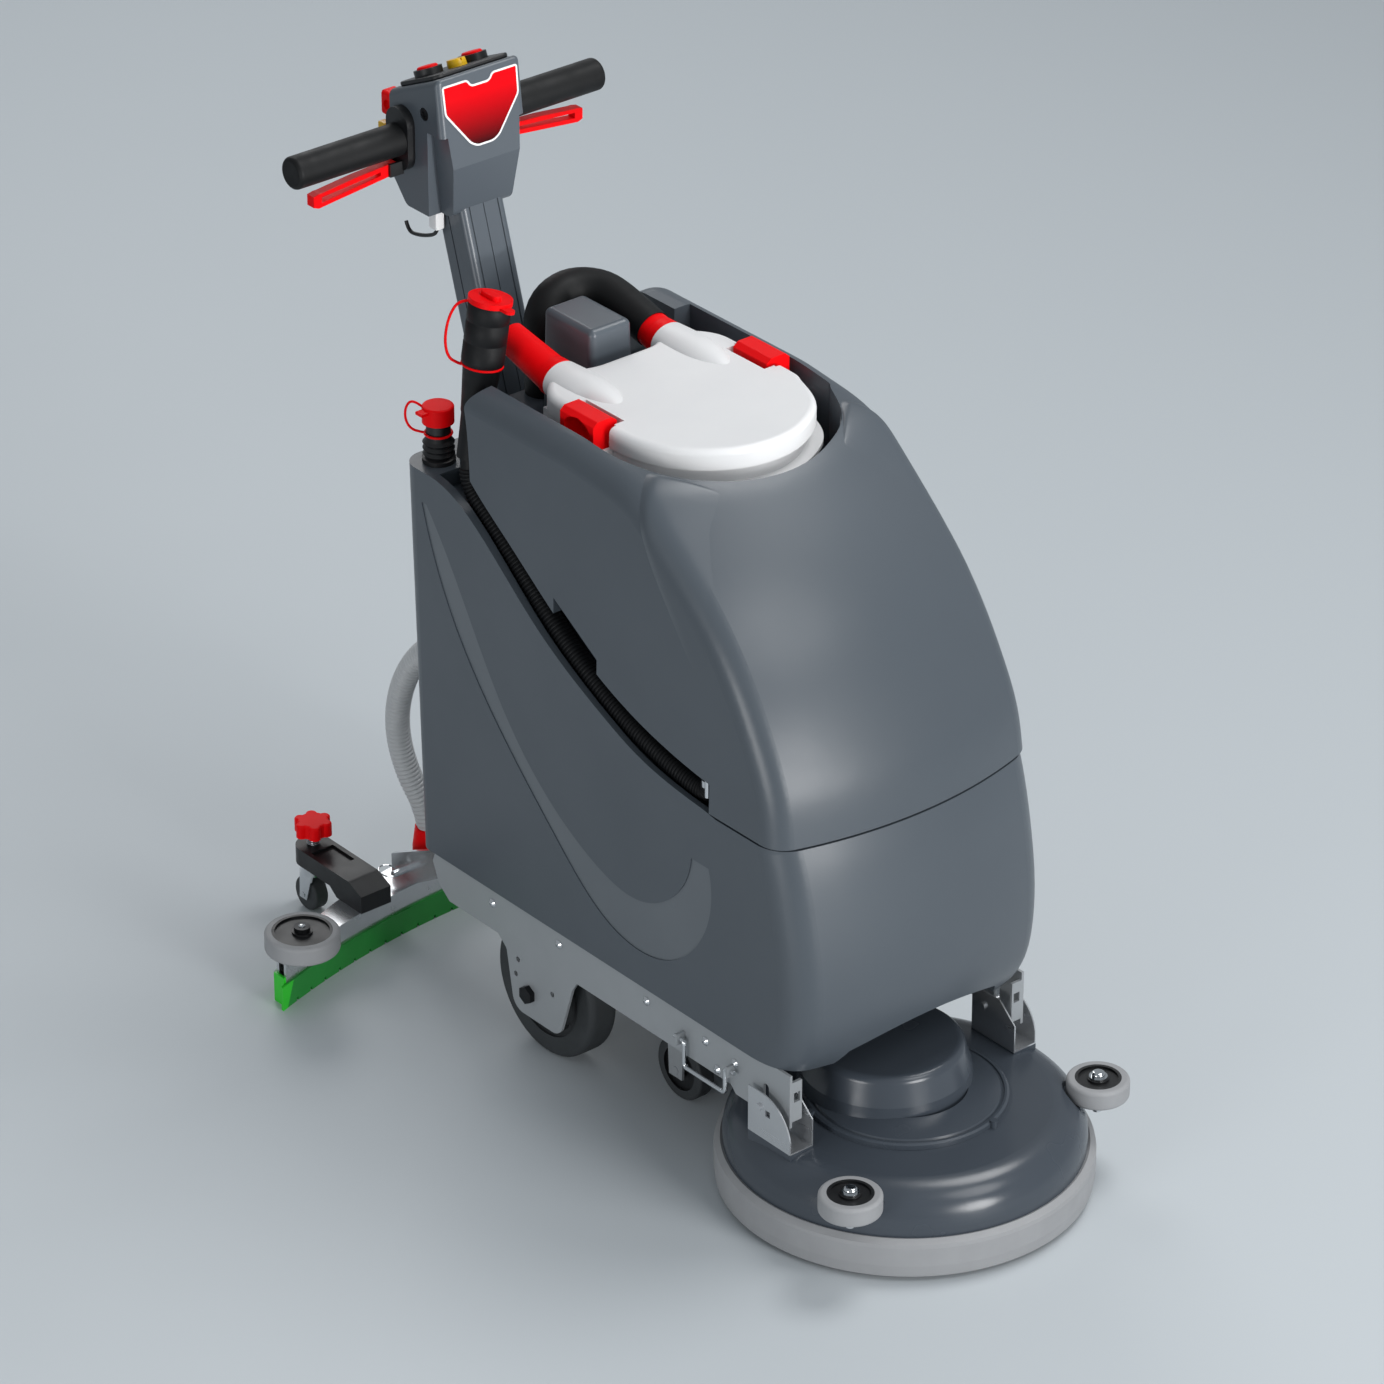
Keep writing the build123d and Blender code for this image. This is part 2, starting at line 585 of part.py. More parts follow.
with BuildPart() as hood:
    add(dome(0))
    extrude(Plane.XY.offset(HOOD_BOTTOM_Z) * plan_outline(BODY_HALF_WIDTH, HOOD_REAR_Y, CORNER_RADIUS),
            amount=450, taper=HOOD_DRAFT, mode=Mode.INTERSECT)
    shoulder = hood.edges().filter_by(lambda e: abs(e.center().X) > 150 and e.center().Z > 640
                                      and e.bounding_box().size.Y > 300)
    fillet(shoulder, SHOULDER_RADIUS)
    add(under_edge(), mode=Mode.SUBTRACT)
    with BuildPart(mode=Mode.SUBTRACT):
        add(dome(HOOD_WALL))
        inside = plan_outline(BODY_HALF_WIDTH - HOOD_WALL, HOOD_REAR_Y - HOOD_WALL, CORNER_RADIUS)
        extrude(Plane.XY.offset(HOOD_BOTTOM_Z) * inside, amount=RECESS_FLOOR_Z - 8 - HOOD_BOTTOM_Z,
                taper=HOOD_DRAFT + 1, mode=Mode.INTERSECT)
        with Locations((0, back(430), 700)):
            Box(500, 430, 400, mode=Mode.INTERSECT)
    with BuildSketch(Plane.XY.offset(RECESS_FLOOR_Z)):
        add(recess_outline(RECESS_HALF_WIDTH, RECESS_FRONT_Y, back(640)))
        with Locations(((RECESS_HALF_WIDTH - 26 - 125) / 2, back(700))):
            Rectangle(RECESS_HALF_WIDTH - 26 + 125, 200)
    extrude(amount=200, mode=Mode.SUBTRACT)
    with BuildSketch(Plane.YZ):
        with BuildLine():
            Polyline((back(453), 660), (back(453), 724), (back(365), 672), (back(365), 600), close=True)
        make_face()
    extrude(amount=400, both=True, mode=Mode.SUBTRACT)
    for start in (-CURTAIN_X, CURTAIN_X - CURTAIN_T):
        with BuildSketch(side_plane(start)):
            with BuildLine():
                low = [(back(y), z - LEDGE_DROP + SEAM_GAP) for y, z in TANK_EDGE]
                Spline(*low, tangents=[(-1, -0.1), (-1, -0.08)])
                Polyline(low[-1], (HOOD_STEP_Y, low[-1][1]), (HOOD_STEP_Y, HOOD_EDGE[-1][1] + 4),
                         *[(back(y), z + 6) for y, z in reversed(HOOD_EDGE)],
                         (low[0][0], HOOD_EDGE_REAR_Z + 2), low[0])
            make_face()
        extrude(amount=CURTAIN_T)
    with BuildSketch(Plane.XY.offset(HOOD_EDGE_REAR_Z - 20)):
        with BuildLine():
            Polyline((-60, back(800)), (-60, back(694)), (-122, back(694)), (-122, back(640)),
                     (-240, back(640)), (-240, back(800)), close=True)
        make_face()
    extrude(amount=200, mode=Mode.SUBTRACT)
    with BuildSketch(DRAIN_PLANE.offset(-30)):
        Circle(DRAIN_CUFF_RADIUS + 7)
    extrude(amount=300, mode=Mode.SUBTRACT)
    with Locations((DRAIN_X, DRAIN_SPIGOT_Y, DRAIN_SPIGOT_Z + 2)):
        Cylinder(DRAIN_BORE - RUNNING, 24)
    block_height = HOOD_EDGE_REAR_Z + 1 - SHELF_Z - SEAM_GAP
    with Locations((126, back(714), SHELF_Z + SEAM_GAP + block_height / 2)):
        Box(140, 40, block_height)
write(hood, "hood_shell")

# Separator tank standing in the recess under the lid
SEPARATOR_HALF = LID_HALF_WIDTH - 8
with BuildPart() as separator:
    outside = recess_outline(SEPARATOR_HALF, LID_FRONT_Y + 9, LID_REAR_Y - 20)
    extrude(Plane.XY.offset(RECESS_FLOOR_Z) * outside, amount=LID_BOTTOM_Z - RECESS_FLOOR_Z)
    rim_flange = recess_outline(LID_HALF_WIDTH + 8, LID_FRONT_Y - 7, LID_REAR_Y - 20)
    extrude(Plane.XY.offset(LID_BOTTOM_Z - 26) * rim_flange, amount=5)
    inside = recess_outline(SEPARATOR_HALF - 5, LID_FRONT_Y + 14, LID_REAR_Y - 25)
    extrude(Plane.XY.offset(RECESS_FLOOR_Z + 5) * inside, amount=200, mode=Mode.SUBTRACT)
    for sign in (-1, 1):
        with Locations((sign * (SEPARATOR_HALF + 7), LATCH_Y, LID_BOTTOM_Z - 22)):
            Box(14, LATCH_LENGTH + 12, 12)
        for end in (-1, 1):
            ear_y = LATCH_Y + end * (LATCH_LENGTH / 2 + 4)
            with Locations((sign * (SEPARATOR_HALF + 7), ear_y, LID_BOTTOM_Z - 10)):
                Box(14, 4, 14)
        pin_x = sign * (SEPARATOR_HALF + LATCH_PIN_OUT)
        with Locations(Location((pin_x, LATCH_Y, LID_BOTTOM_Z - 9), (90, 0, 0))):
            Cylinder(LATCH_PIN, LATCH_LENGTH + 8)
write(separator, "separator_tank")

# Lid with a soft edge, a notch for each latch and two stub ports at the rear
PORT_REACH = 2.0
with BuildPart() as lid:
    extrude(Plane.XY.offset(LID_BOTTOM_Z) * lid_outline(LID_HALF_WIDTH, LID_FRONT_Y, LID_REAR_Y),
            amount=LID_TOP_Z - LID_BOTTOM_Z)
    fillet(lid.edges().group_by(Axis.Z)[-1], 9)
    for sign in (-1, 1):
        with Locations((sign * LID_HALF_WIDTH, LATCH_Y, LID_TOP_Z)):
            Box(56, LATCH_LENGTH + 10, 120, mode=Mode.SUBTRACT)
        with Locations((sign * LID_HALF_WIDTH, LATCH_Y, LID_BOTTOM_Z)):
            Box(24, LATCH_LENGTH + 18, 60, mode=Mode.SUBTRACT)
        with Locations(Location((sign * LID_PORT_X, LID_REAR_Y + PORT_REACH - 30, LID_PORT_Z), (90, 0, 0))):
            Cylinder(24, 60)
        with Locations(Location((sign * LID_PORT_X, LID_REAR_Y - 10, LID_PORT_Z), (90, 0, 0))):
            Cylinder(17, 70, mode=Mode.SUBTRACT)
    with Locations((0, back(420), LID_BOTTOM_Z)):
        Box(220, 200, 26, mode=Mode.SUBTRACT)
    split(bisect_by=Plane.XY.offset(LID_BOTTOM_Z), keep=Keep.TOP)
write(lid, "separator_lid")

# Latches: cupped blocks that swing out on the separator pins, with a finger scoop on the outer side.
# The foot turns inside a circle that stays off the separator wall.
LATCH_FOOT = LATCH_PIN_OUT - 1
for side, sign in (("right", -1), ("left", 1)):
    pin_x = sign * (SEPARATOR_HALF + LATCH_PIN_OUT)
    pin_z = LID_BOTTOM_Z - 9
    outline = [
        (-LATCH_FOOT, pin_z), (-5, pin_z - 5), (4, pin_z - 5), (16, pin_z + 6), (18, pin_z + 12),
        (18, LID_TOP_Z + 2), (11, LID_TOP_Z + 8), (-12, LID_TOP_Z + 8), (-20, LID_TOP_Z + 2),
        (-20, LID_TOP_Z - 8), (-10, LID_TOP_Z - 14), (-LATCH_FOOT, pin_z + 12),
    ]
    with BuildPart() as latch:
        with BuildSketch(Plane.XZ.offset(-LATCH_Y)):
            with BuildLine():
                Polyline(*[(pin_x + sign * x, z) for x, z in outline], close=True)
            make_face()
        extrude(amount=LATCH_LENGTH / 2, both=True)
        fillet(latch.edges().filter_by(Axis.Y).group_by(Axis.Z)[-1], 3)
        with BuildSketch(side_plane(min(pin_x - sign * 4, pin_x + sign * 20))):
            with Locations((LATCH_Y, LID_TOP_Z - 12)):
                Ellipse(LATCH_LENGTH / 2 - 8, 15)
        extrude(amount=24, mode=Mode.SUBTRACT)
        with Locations(Location((pin_x, LATCH_Y, pin_z), (90, 0, 0))):
            Cylinder(LATCH_PIN + RUNNING, LATCH_LENGTH + 4, mode=Mode.SUBTRACT)
    write(latch, f"lid_latch_{side}")

# Vacuum box standing in the recess behind the lid, and the vacuum motor closed inside it
BOX_HALF = 37.0
BOX_FRONT_Y = back(584)
BOX_REAR_Y = back(690)
BOX_TOP_Z = 990.0
with BuildPart() as vacuum_box:
    with BuildSketch(Plane.XY.offset(RECESS_FLOOR_Z)):
        with Locations((0, (BOX_FRONT_Y + BOX_REAR_Y) / 2)):
            RectangleRounded(2 * BOX_HALF, BOX_REAR_Y - BOX_FRONT_Y, 12)
    extrude(amount=BOX_TOP_Z - RECESS_FLOOR_Z, taper=1.5)
    fillet(vacuum_box.edges().group_by(Axis.Z)[-1], 9)
    with Locations((0, (BOX_FRONT_Y + BOX_REAR_Y) / 2, RECESS_FLOOR_Z)):
        Box(2 * BOX_HALF - 12, BOX_REAR_Y - BOX_FRONT_Y - 12, 2 * (BOX_TOP_Z - RECESS_FLOOR_Z - 8),
            mode=Mode.SUBTRACT)
write(vacuum_box, "vacuum_box")

with BuildPart() as vacuum_motor:
    with Locations((0, (BOX_FRONT_Y + BOX_REAR_Y) / 2, RECESS_FLOOR_Z + 20)):
        Cylinder(BOX_HALF - 8, 40)
    with Locations((0, (BOX_FRONT_Y + BOX_REAR_Y) / 2, RECESS_FLOOR_Z + 75)):
        Cylinder(BOX_HALF - 13, 70)
write(vacuum_motor, "vacuum_motor")

# Red cuffs pushed against the stub ports of the lid
CUFF_RISE = 0.24
CUFF_LENGTH = 102.0
CUFF_FRONT_Y = LID_REAR_Y + PORT_REACH
CUFF_END_Y = CUFF_FRONT_Y + CUFF_LENGTH
CUFF_END_Z = LID_PORT_Z + (CUFF_LENGTH - 14) * CUFF_RISE
CUFF_DIRECTION = Vector(0, 1, CUFF_RISE).normalized()


def cuff_plane(x, y, z, direction=(0, 1, 0)):
    """Plane square to a cuff's run at a point of it."""
    return Plane(origin=(x, y, z), x_dir=(1, 0, 0), z_dir=direction)


with BuildPart() as cuffs:
    for port_x in (-LID_PORT_X, LID_PORT_X):
        with BuildSketch(cuff_plane(port_x, CUFF_FRONT_Y, LID_PORT_Z)):
            Circle(26)
            Circle(HOSE_BORE, mode=Mode.SUBTRACT)
        extrude(amount=14)
        with BuildSketch(cuff_plane(port_x, CUFF_FRONT_Y + 14, LID_PORT_Z)):
            Circle(25)
        with BuildSketch(cuff_plane(port_x, CUFF_END_Y, CUFF_END_Z, CUFF_DIRECTION)):
            Circle(HOSE_RADIUS + 4)
        loft()
        with BuildSketch(cuff_plane(port_x, CUFF_FRONT_Y + 10, LID_PORT_Z)):
            Circle(HOSE_BORE)
        with BuildSketch(cuff_plane(port_x, CUFF_END_Y + 2, CUFF_END_Z, CUFF_DIRECTION)):
            Circle(HOSE_BORE)
        loft(mode=Mode.SUBTRACT)
write(cuffs, "hose_cuffs")


def ribbed_hose(points, pitch, root, crest, bore, steady):
    """Ribbed hose along a route: ruled ribs outside, a smooth bore inside, straight ends."""
    with BuildPart() as hose:
        with BuildLine():
            path = FilletPolyline(*points, radius=route_radii(points))
        count = int((path.length - 2 * crest) / pitch)
        lead = (path.length - count * pitch) / 2
        stops = [(0.0, root)]
        for rib in range(count):
            start = lead + rib * pitch
            stops += [(start + 0.10 * pitch, root), (start + 0.30 * pitch, crest),
                      (start + 0.70 * pitch, crest), (start + 0.90 * pitch, root)]
        stops.append((path.length, root))
        for distance, radius in stops:
            u = distance / path.length
            with BuildSketch(Plane(origin=path @ u, x_dir=steady, z_dir=path % u)):
                Circle(radius)
        loft(ruled=True)
        with BuildSketch(Plane(origin=path @ 0, x_dir=steady, z_dir=path % 0)):
            Circle(bore)
        sweep(path=path, mode=Mode.SUBTRACT)
    print("hose", count, "ribs, length", round(path.length, 1), "volume", round(hose.part.volume),
          "mean section x length", round(3.14159 * (((root + crest) / 2) ** 2 - bore ** 2) * path.length))
    return hose


def plain_tube(points, radius, bore):
    """Smooth tube along a route of straight runs and tangent bends."""
    with BuildPart() as tube:
        with BuildLine():
            path = FilletPolyline(*points, radius=route_radii(points))
        with BuildSketch(Plane(origin=path @ 0, z_dir=path % 0)):
            Circle(radius)
            Circle(bore, mode=Mode.SUBTRACT)
        sweep(path=path)
    print("tube length", round(path.length, 1), "volume", round(tube.part.volume),
          "section x length", round(3.14159 * (radius ** 2 - bore ** 2) * path.length))
    return tube


CUFF_OUT = (CUFF_DIRECTION.Y, CUFF_DIRECTION.Z)

# Suction hose from the right cuff over the rear edge and down to the port on the shelf
suction_points = [
    (-LID_PORT_X, CUFF_END_Y, CUFF_END_Z),
    (-LID_PORT_X, CUFF_END_Y + 22 * CUFF_OUT[0], CUFF_END_Z + 22 * CUFF_OUT[1]),
    (-LID_PORT_X - 8, back(722), 968),
    (SUCTION_PORT[0], SUCTION_PORT[1] + 6, 928),
    (SUCTION_PORT[0], SUCTION_PORT[1], 860),
    (SUCTION_PORT[0], SUCTION_PORT[1], SHELF_Z + 10),
]
suction_hose = ribbed_hose(suction_points, 11.0, HOSE_RADIUS - 2.5, HOSE_RADIUS, HOSE_BORE - 1, (1, 0, 0))
write(suction_hose, "suction_hose")

# Vacuum hose from the left cuff, over behind the vacuum box and down to the floor of the recess
vacuum_points = [
    (LID_PORT_X, CUFF_END_Y, CUFF_END_Z),
    (LID_PORT_X, CUFF_END_Y + 22 * CUFF_OUT[0], CUFF_END_Z + 22 * CUFF_OUT[1]),
    (LID_PORT_X - 12, back(722), 988),
    (38, back(728), 1008),
    (0, back(722), 986),
    (-8, back(718), 930),
    (-8, back(718), RECESS_FLOOR_Z),
]
vacuum_hose = plain_tube(vacuum_points, HOSE_RADIUS + 2, HOSE_BORE)
write(vacuum_hose, "vacuum_hose")

# Drain hose lying on the tank ledge, with its tapered rubber cuff standing at the rear corner
drain_low = DRAIN_FOOT - DRAIN_AXIS * 34
drain_points = [
    (DRAIN_FOOT.X, DRAIN_FOOT.Y, DRAIN_FOOT.Z), (drain_low.X, drain_low.Y, drain_low.Z),
    (DRAIN_X, back(602), 768), (DRAIN_X, back(535), 717), (DRAIN_X, back(470), 666),
    (DRAIN_X, back(400), 624), (DRAIN_X, back(335), 594), (DRAIN_X, back(255), 571),
    (DRAIN_X, back(184), 556), (DRAIN_X, DRAIN_SPIGOT_Y, 564), (DRAIN_X, DRAIN_SPIGOT_Y, DRAIN_SPIGOT_Z),
]
drain_hose = ribbed_hose(drain_points, 14.0, DRAIN_RADIUS - 2, DRAIN_RADIUS, DRAIN_BORE, (1, 0, 0))
with BuildPart() as drain_cuff:
    cuff_normal = DRAIN_AXIS.cross(Vector(0, 1, 0)) * -1
    with BuildSketch(Plane(origin=DRAIN_FOOT, x_dir=(0, 1, 0), z_dir=cuff_normal)) as half_cuff:
        with BuildLine():
            Polyline(
                (DRAIN_RADIUS - 4, BOND), (DRAIN_RADIUS + 4, BOND), (DRAIN_RADIUS + 5, 60),
                (DRAIN_CUFF_RADIUS - 3, 128), (DRAIN_CUFF_RADIUS, 136), (DRAIN_CUFF_RADIUS, DRAIN_LENGTH),
                (DRAIN_CUFF_RADIUS - 6, DRAIN_LENGTH), (DRAIN_CUFF_RADIUS - 6, 140), (DRAIN_RADIUS - 4, 60),
                close=True,
            )
        make_face()
    revolve(axis=Axis(DRAIN_FOOT, DRAIN_AXIS))

with BuildPart() as drain:
    add(drain_hose.part)
    add(drain_cuff.part)
write(drain, "drain_hose")

# Drain cap: an oval lid on the mouth of the cuff with a plug below and a finger tab
with BuildPart() as drain_cap:
    with BuildSketch(DRAIN_PLANE.offset(DRAIN_LENGTH)):
        Ellipse(DRAIN_CUFF_RADIUS + 2, DRAIN_CUFF_RADIUS)
    extrude(amount=7)
    with BuildSketch(DRAIN_PLANE.offset(DRAIN_LENGTH + 7)):
        SlotOverall(34, 14)
    extrude(amount=6)
    fillet(drain_cap.edges().group_by(Axis.Z)[-1], 2)
    with BuildSketch(DRAIN_PLANE.offset(DRAIN_LENGTH - 12)):
        Circle(DRAIN_CUFF_RADIUS - 6 - GAP)
    extrude(amount=12)
    with BuildSketch(DRAIN_PLANE.offset(DRAIN_LENGTH)):
        with Locations((-DRAIN_CUFF_RADIUS - 6, 0)):
            SlotOverall(24, 14)
    extrude(amount=4)
write(drain_cap, "drain_cap")

# Handle column: two half shells meeting on a front seam, round at the foot where the pin goes through
COLUMN_PLANE = Plane(
    origin=(0, COLUMN_PIVOT_Y, COLUMN_PIVOT_Z), x_dir=(1, 0, 0),
    z_dir=(0, sin(radians(COLUMN_LEAN)), cos(radians(COLUMN_LEAN))),
)


COLUMN_SIDE = Plane(
    origin=(-COLUMN_HALF_WIDTH, COLUMN_PIVOT_Y, COLUMN_PIVOT_Z), x_dir=COLUMN_PLANE.y_dir, z_dir=(1, 0, 0),
)
COLUMN_CORNER = 8.0


def column_solid():
    """Outside of the whole column: a long bar with a round foot and soft edges."""
    half_depth = COLUMN_DEPTH / 2
    with BuildPart() as solid:
        with BuildSketch(COLUMN_SIDE):
            with BuildLine():
                Polyline((-half_depth, 0), (-half_depth, COLUMN_LENGTH),
                         (half_depth, COLUMN_LENGTH), (half_depth, 0))
                ThreePointArc((half_depth, 0), (0, -half_depth), (-half_depth, 0))
            make_face()
        extrude(amount=2 * COLUMN_HALF_WIDTH)
        fillet(solid.edges().filter_by(lambda e: abs(e.center().X) > COLUMN_HALF_WIDTH - 0.1), COLUMN_CORNER)
    return solid.part


with BuildPart() as column_half:
    add(column_solid())
    with BuildSketch(COLUMN_PLANE.offset(60)):
        Rectangle(2 * (COLUMN_HALF_WIDTH - COLUMN_WALL), COLUMN_DEPTH - 2 * COLUMN_WALL)
    extrude(amount=COLUMN_LENGTH, mode=Mode.SUBTRACT)
    with BuildSketch(COLUMN_PLANE.offset(70)):
        with Locations((COLUMN_HALF_WIDTH - 12, -COLUMN_DEPTH / 2)):
            Rectangle(2.4, 3)
        with Locations((COLUMN_HALF_WIDTH, 4)):
            Rectangle(3, 2.4)
        with Locations((0, -COLUMN_DEPTH / 2), (0, COLUMN_DEPTH / 2)):
            Rectangle(1.6, 2.4)
    extrude(amount=COLUMN_LENGTH, mode=Mode.SUBTRACT)
    with Locations(Location((0, COLUMN_PIVOT_Y, COLUMN_PIVOT_Z), (0, 90, 0))):
        Cylinder(PIVOT_PIN + RUNNING, 4 * COLUMN_HALF_WIDTH, mode=Mode.SUBTRACT)
    split(bisect_by=Plane.YZ.offset(BOND / 2), keep=Keep.TOP)
with BuildPart() as column:
    add(column_half.part)
    mirror(column_half.part, about=Plane.YZ)
write(column, "column_shells")

# Control head: wedge-shaped housing with a ridged front, fluted corners and a socket for the column
HEAD_TOP_FRONT = (back(857), 1256)
HEAD_TOP_REAR = (HEAD_REAR_Y, 1210)
with BuildPart() as head:
    with BuildSketch(Plane.YZ) as side_shape:
        with BuildLine():
            Polyline(
                HEAD_TOP_FRONT, (back(842), 1132), (back(853), 1058), (back(925), 1058),
                (HEAD_REAR_Y, 1096), HEAD_TOP_REAR, close=True,
            )
        make_face()
        fillet(side_shape.vertices().group_by(Axis.Y)[0], 14)
    extrude(amount=HEAD_HALF_WIDTH, both=True)
    for sign in (-1, 1):
        with BuildSketch(Plane.XZ.offset(-back(820))):
            with BuildLine():
                Polyline((sign * 46, 1040), (sign * 58, 1176), (sign * 90, 1176), (sign * 90, 1040),
                         close=True)
            make_face()
        extrude(amount=-58, mode=Mode.SUBTRACT)
    fillet(head.edges().filter_by(Axis.X).group_by(Axis.Z)[-1], 5)
    upright = head.edges().filter_by(lambda e: abs(e.center().X) > HEAD_HALF_WIDTH - 1
                                     and e.center().Y < back(862) and e.center().Z > 1180)
    fillet(upright, 8)
    with Locations(Location((0, GRIP_Y, GRIP_Z), (0, 90, 0))):
        Cylinder(BAR_RADIUS, 400, mode=Mode.SUBTRACT)
    add(column_solid(), mode=Mode.SUBTRACT)
    for sign in (-1, 1):
        with Locations(Location((sign * HEAD_HALF_WIDTH, back(884), 1200), (0, 90, 0))):
            Cylinder(9, 6, mode=Mode.SUBTRACT)
    with Locations(Location((-50, HEAD_REAR_Y, 1182), (90, 0, 0))):
        Cylinder(6, 50, mode=Mode.SUBTRACT)
write(head, "head_housing")

# Control panel on the sloping top, with two raised button seats
slope = (HEAD_TOP_FRONT[1] - HEAD_TOP_REAR[1]) / (HEAD_TOP_REAR[0] - HEAD_TOP_FRONT[0])
PANEL_PLANE = Plane(
    origin=(0, (HEAD_TOP_FRONT[0] + HEAD_TOP_REAR[0]) / 2, (HEAD_TOP_FRONT[1] + HEAD_TOP_REAR[1]) / 2),
    x_dir=(1, 0, 0), z_dir=Vector(0, slope, 1).normalized(),
)
BUTTON_SEAT = 9.0
BUTTON_TRAVEL = 2.0
with BuildPart() as panel:
    with BuildSketch(PANEL_PLANE):
        RectangleRounded(2 * HEAD_HALF_WIDTH - 14, 90, 12)
    extrude(amount=PANEL_T)
    fillet(panel.faces().sort_by(Axis.Z)[-1].edges(), 2)
    with BuildSketch(PANEL_PLANE.offset(PANEL_T)):
        with Locations((-BUTTON_X, 4), (BUTTON_X, 4)):
            Circle(BUTTON_RADIUS + 5)
    extrude(amount=BUTTON_SEAT)
    with BuildSketch(PANEL_PLANE.offset(PANEL_T + 1)):
        with Locations((-BUTTON_X, 4), (BUTTON_X, 4)):
            Circle(BUTTON_RADIUS + GAP)
    extrude(amount=BUTTON_SEAT, mode=Mode.SUBTRACT)
write(panel, "control_panel")

for side, sign in (("right", -1), ("left", 1)):
    with BuildPart() as button:
        with BuildSketch(PANEL_PLANE.offset(PANEL_T + 1 + BUTTON_TRAVEL + GAP)):
            with Locations((sign * BUTTON_X, 4)):
                Circle(BUTTON_RADIUS)
        extrude(amount=BUTTON_SEAT)
        fillet(button.faces().sort_by(Axis.Z)[-1].edges(), 3)
    write(button, f"button_{side}")

with BuildPart() as dial:
    with BuildSketch(PANEL_PLANE.offset(PANEL_T)):
        with Locations((0, -10)):
            Circle(13)
    extrude(amount=4)
    with BuildSketch(PANEL_PLANE.offset(PANEL_T + 4)):
        with Locations((0, -10)):
            Circle(13)
    extrude(amount=6, taper=8)
    with BuildSketch(PANEL_PLANE.offset(PANEL_T + 7)):
        with Locations((0, -18)):
            Rectangle(2.5, 10)
    extrude(amount=6, mode=Mode.SUBTRACT)
write(dial, "speed_dial")

# Isolator key pulled out of the rear of the head
with BuildPart() as key:
    with Locations((-50, HEAD_REAR_Y + 14, 1182)):
        Box(24, 28, 34)
    fillet(key.edges().filter_by(Axis.Y), 5)
    fillet(key.edges().group_by(Axis.Y)[-1], 4)
    with Locations(Location((-50, HEAD_REAR_Y - 9, 1182), (90, 0, 0))):
        Cylinder(6 - GAP, 18)
    with Locations((-50 - 12, HEAD_REAR_Y + 14, 1182), (-50 + 12, HEAD_REAR_Y + 14, 1182)):
        Sphere(7, mode=Mode.SUBTRACT)
write(key, "isolator_key")

# Handlebar through the head, with an oval collar each side that carries the trigger ears and pin
PIVOT_Z = GRIP_Z - TRIGGER_PIVOT_DROP
with BuildPart() as handlebar:
    with Locations(Location((0, GRIP_Y, GRIP_Z), (0, 90, 0))):
        Cylinder(BAR_RADIUS, 2 * (GRIP_END_X - 6))
    for sign in (-1, 1):
        collar_foot = (sign * HEAD_HALF_WIDTH, GRIP_Y, GRIP_Z)
        with BuildSketch(Plane(origin=collar_foot, x_dir=(0, sign, 0), z_dir=(sign, 0, 0))):
            SlotOverall(88, 46, rotation=90)
        extrude(amount=COLLAR_T)
        for end in (-1, 1):
            ear_y = GRIP_Y + end * (TRIGGER_WIDTH / 2 + GAP + 2)
            with Locations((sign * (TRIGGER_PIVOT_X - 1), ear_y, PIVOT_Z)):
                Box(22, 4, 18)
        with Locations(Location((sign * TRIGGER_PIVOT_X, GRIP_Y, PIVOT_Z), (90, 0, 0))):
            Cylinder(TRIGGER_PIN, TRIGGER_WIDTH + 6)
write(handlebar, "handlebar")

with BuildPart() as grips:
    for sign in (-1, 1):
        start = sign * (HEAD_HALF_WIDTH + COLLAR_T + GAP)
        with BuildSketch(Plane(origin=(start, GRIP_Y, GRIP_Z), z_dir=(sign, 0, 0))):
            Circle(GRIP_RADIUS)
        extrude(amount=GRIP_END_X - abs(start))
    fillet(grips.edges().filter_by(lambda e: abs(e.center().X) > GRIP_END_X - 1), 6)
    with Locations(Location((0, GRIP_Y, GRIP_Z), (0, 90, 0))):
        Cylinder(BAR_RADIUS, 2 * (GRIP_END_X - 6), mode=Mode.SUBTRACT)
write(grips, "hand_grips")

# Trigger levers: long loops under the grips
for side, sign in (("right", -1), ("left", 1)):
    with BuildPart() as trigger:
        with BuildSketch(Plane.XZ.offset(-GRIP_Y)) as loop:
            with BuildLine():
                Polyline(
                    (sign * TRIGGER_PIVOT_X, GRIP_Z - 27.5), (sign * 150, GRIP_Z - 31),
                    (sign * 206, GRIP_Z - 37), (sign * 211, GRIP_Z - 37), (sign * 220, GRIP_Z - 39),
                    (sign * 220, GRIP_Z - 54), (sign * 212, GRIP_Z - 57),
                    (sign * TRIGGER_PIVOT_X, GRIP_Z - 44), close=True,
                )
            make_face()
            with Locations((sign * TRIGGER_PIVOT_X, PIVOT_Z)):
                Circle(8.5)
            with BuildLine():
                Polyline((sign * 112, GRIP_Z - 35), (sign * 207, GRIP_Z - 42.5), (sign * 207, GRIP_Z - 50.5),
                         (sign * 112, GRIP_Z - 40), close=True)
            make_face(mode=Mode.SUBTRACT)
        extrude(amount=TRIGGER_WIDTH / 2, both=True)
        with Locations(Location((sign * TRIGGER_PIVOT_X, GRIP_Y, PIVOT_Z), (90, 0, 0))):
            Cylinder(TRIGGER_PIN + RUNNING, 40, mode=Mode.SUBTRACT)
    write(trigger, f"trigger_{side}")

# Brush deck: a turned shell with a flat top, thickened into a pocket at each bumper roller
DECK_AXIS = Axis((0, DECK_Y, 0), (0, 0, 1))
DECK_SECTION = Plane(origin=(0, DECK_Y, 0), x_dir=(1, 0, 0), z_dir=(0, -1, 0))
POCKET_FLOOR_Z = BUMPER_BOTTOM_Z - GAP
SHAFT_RADIUS = 14.0


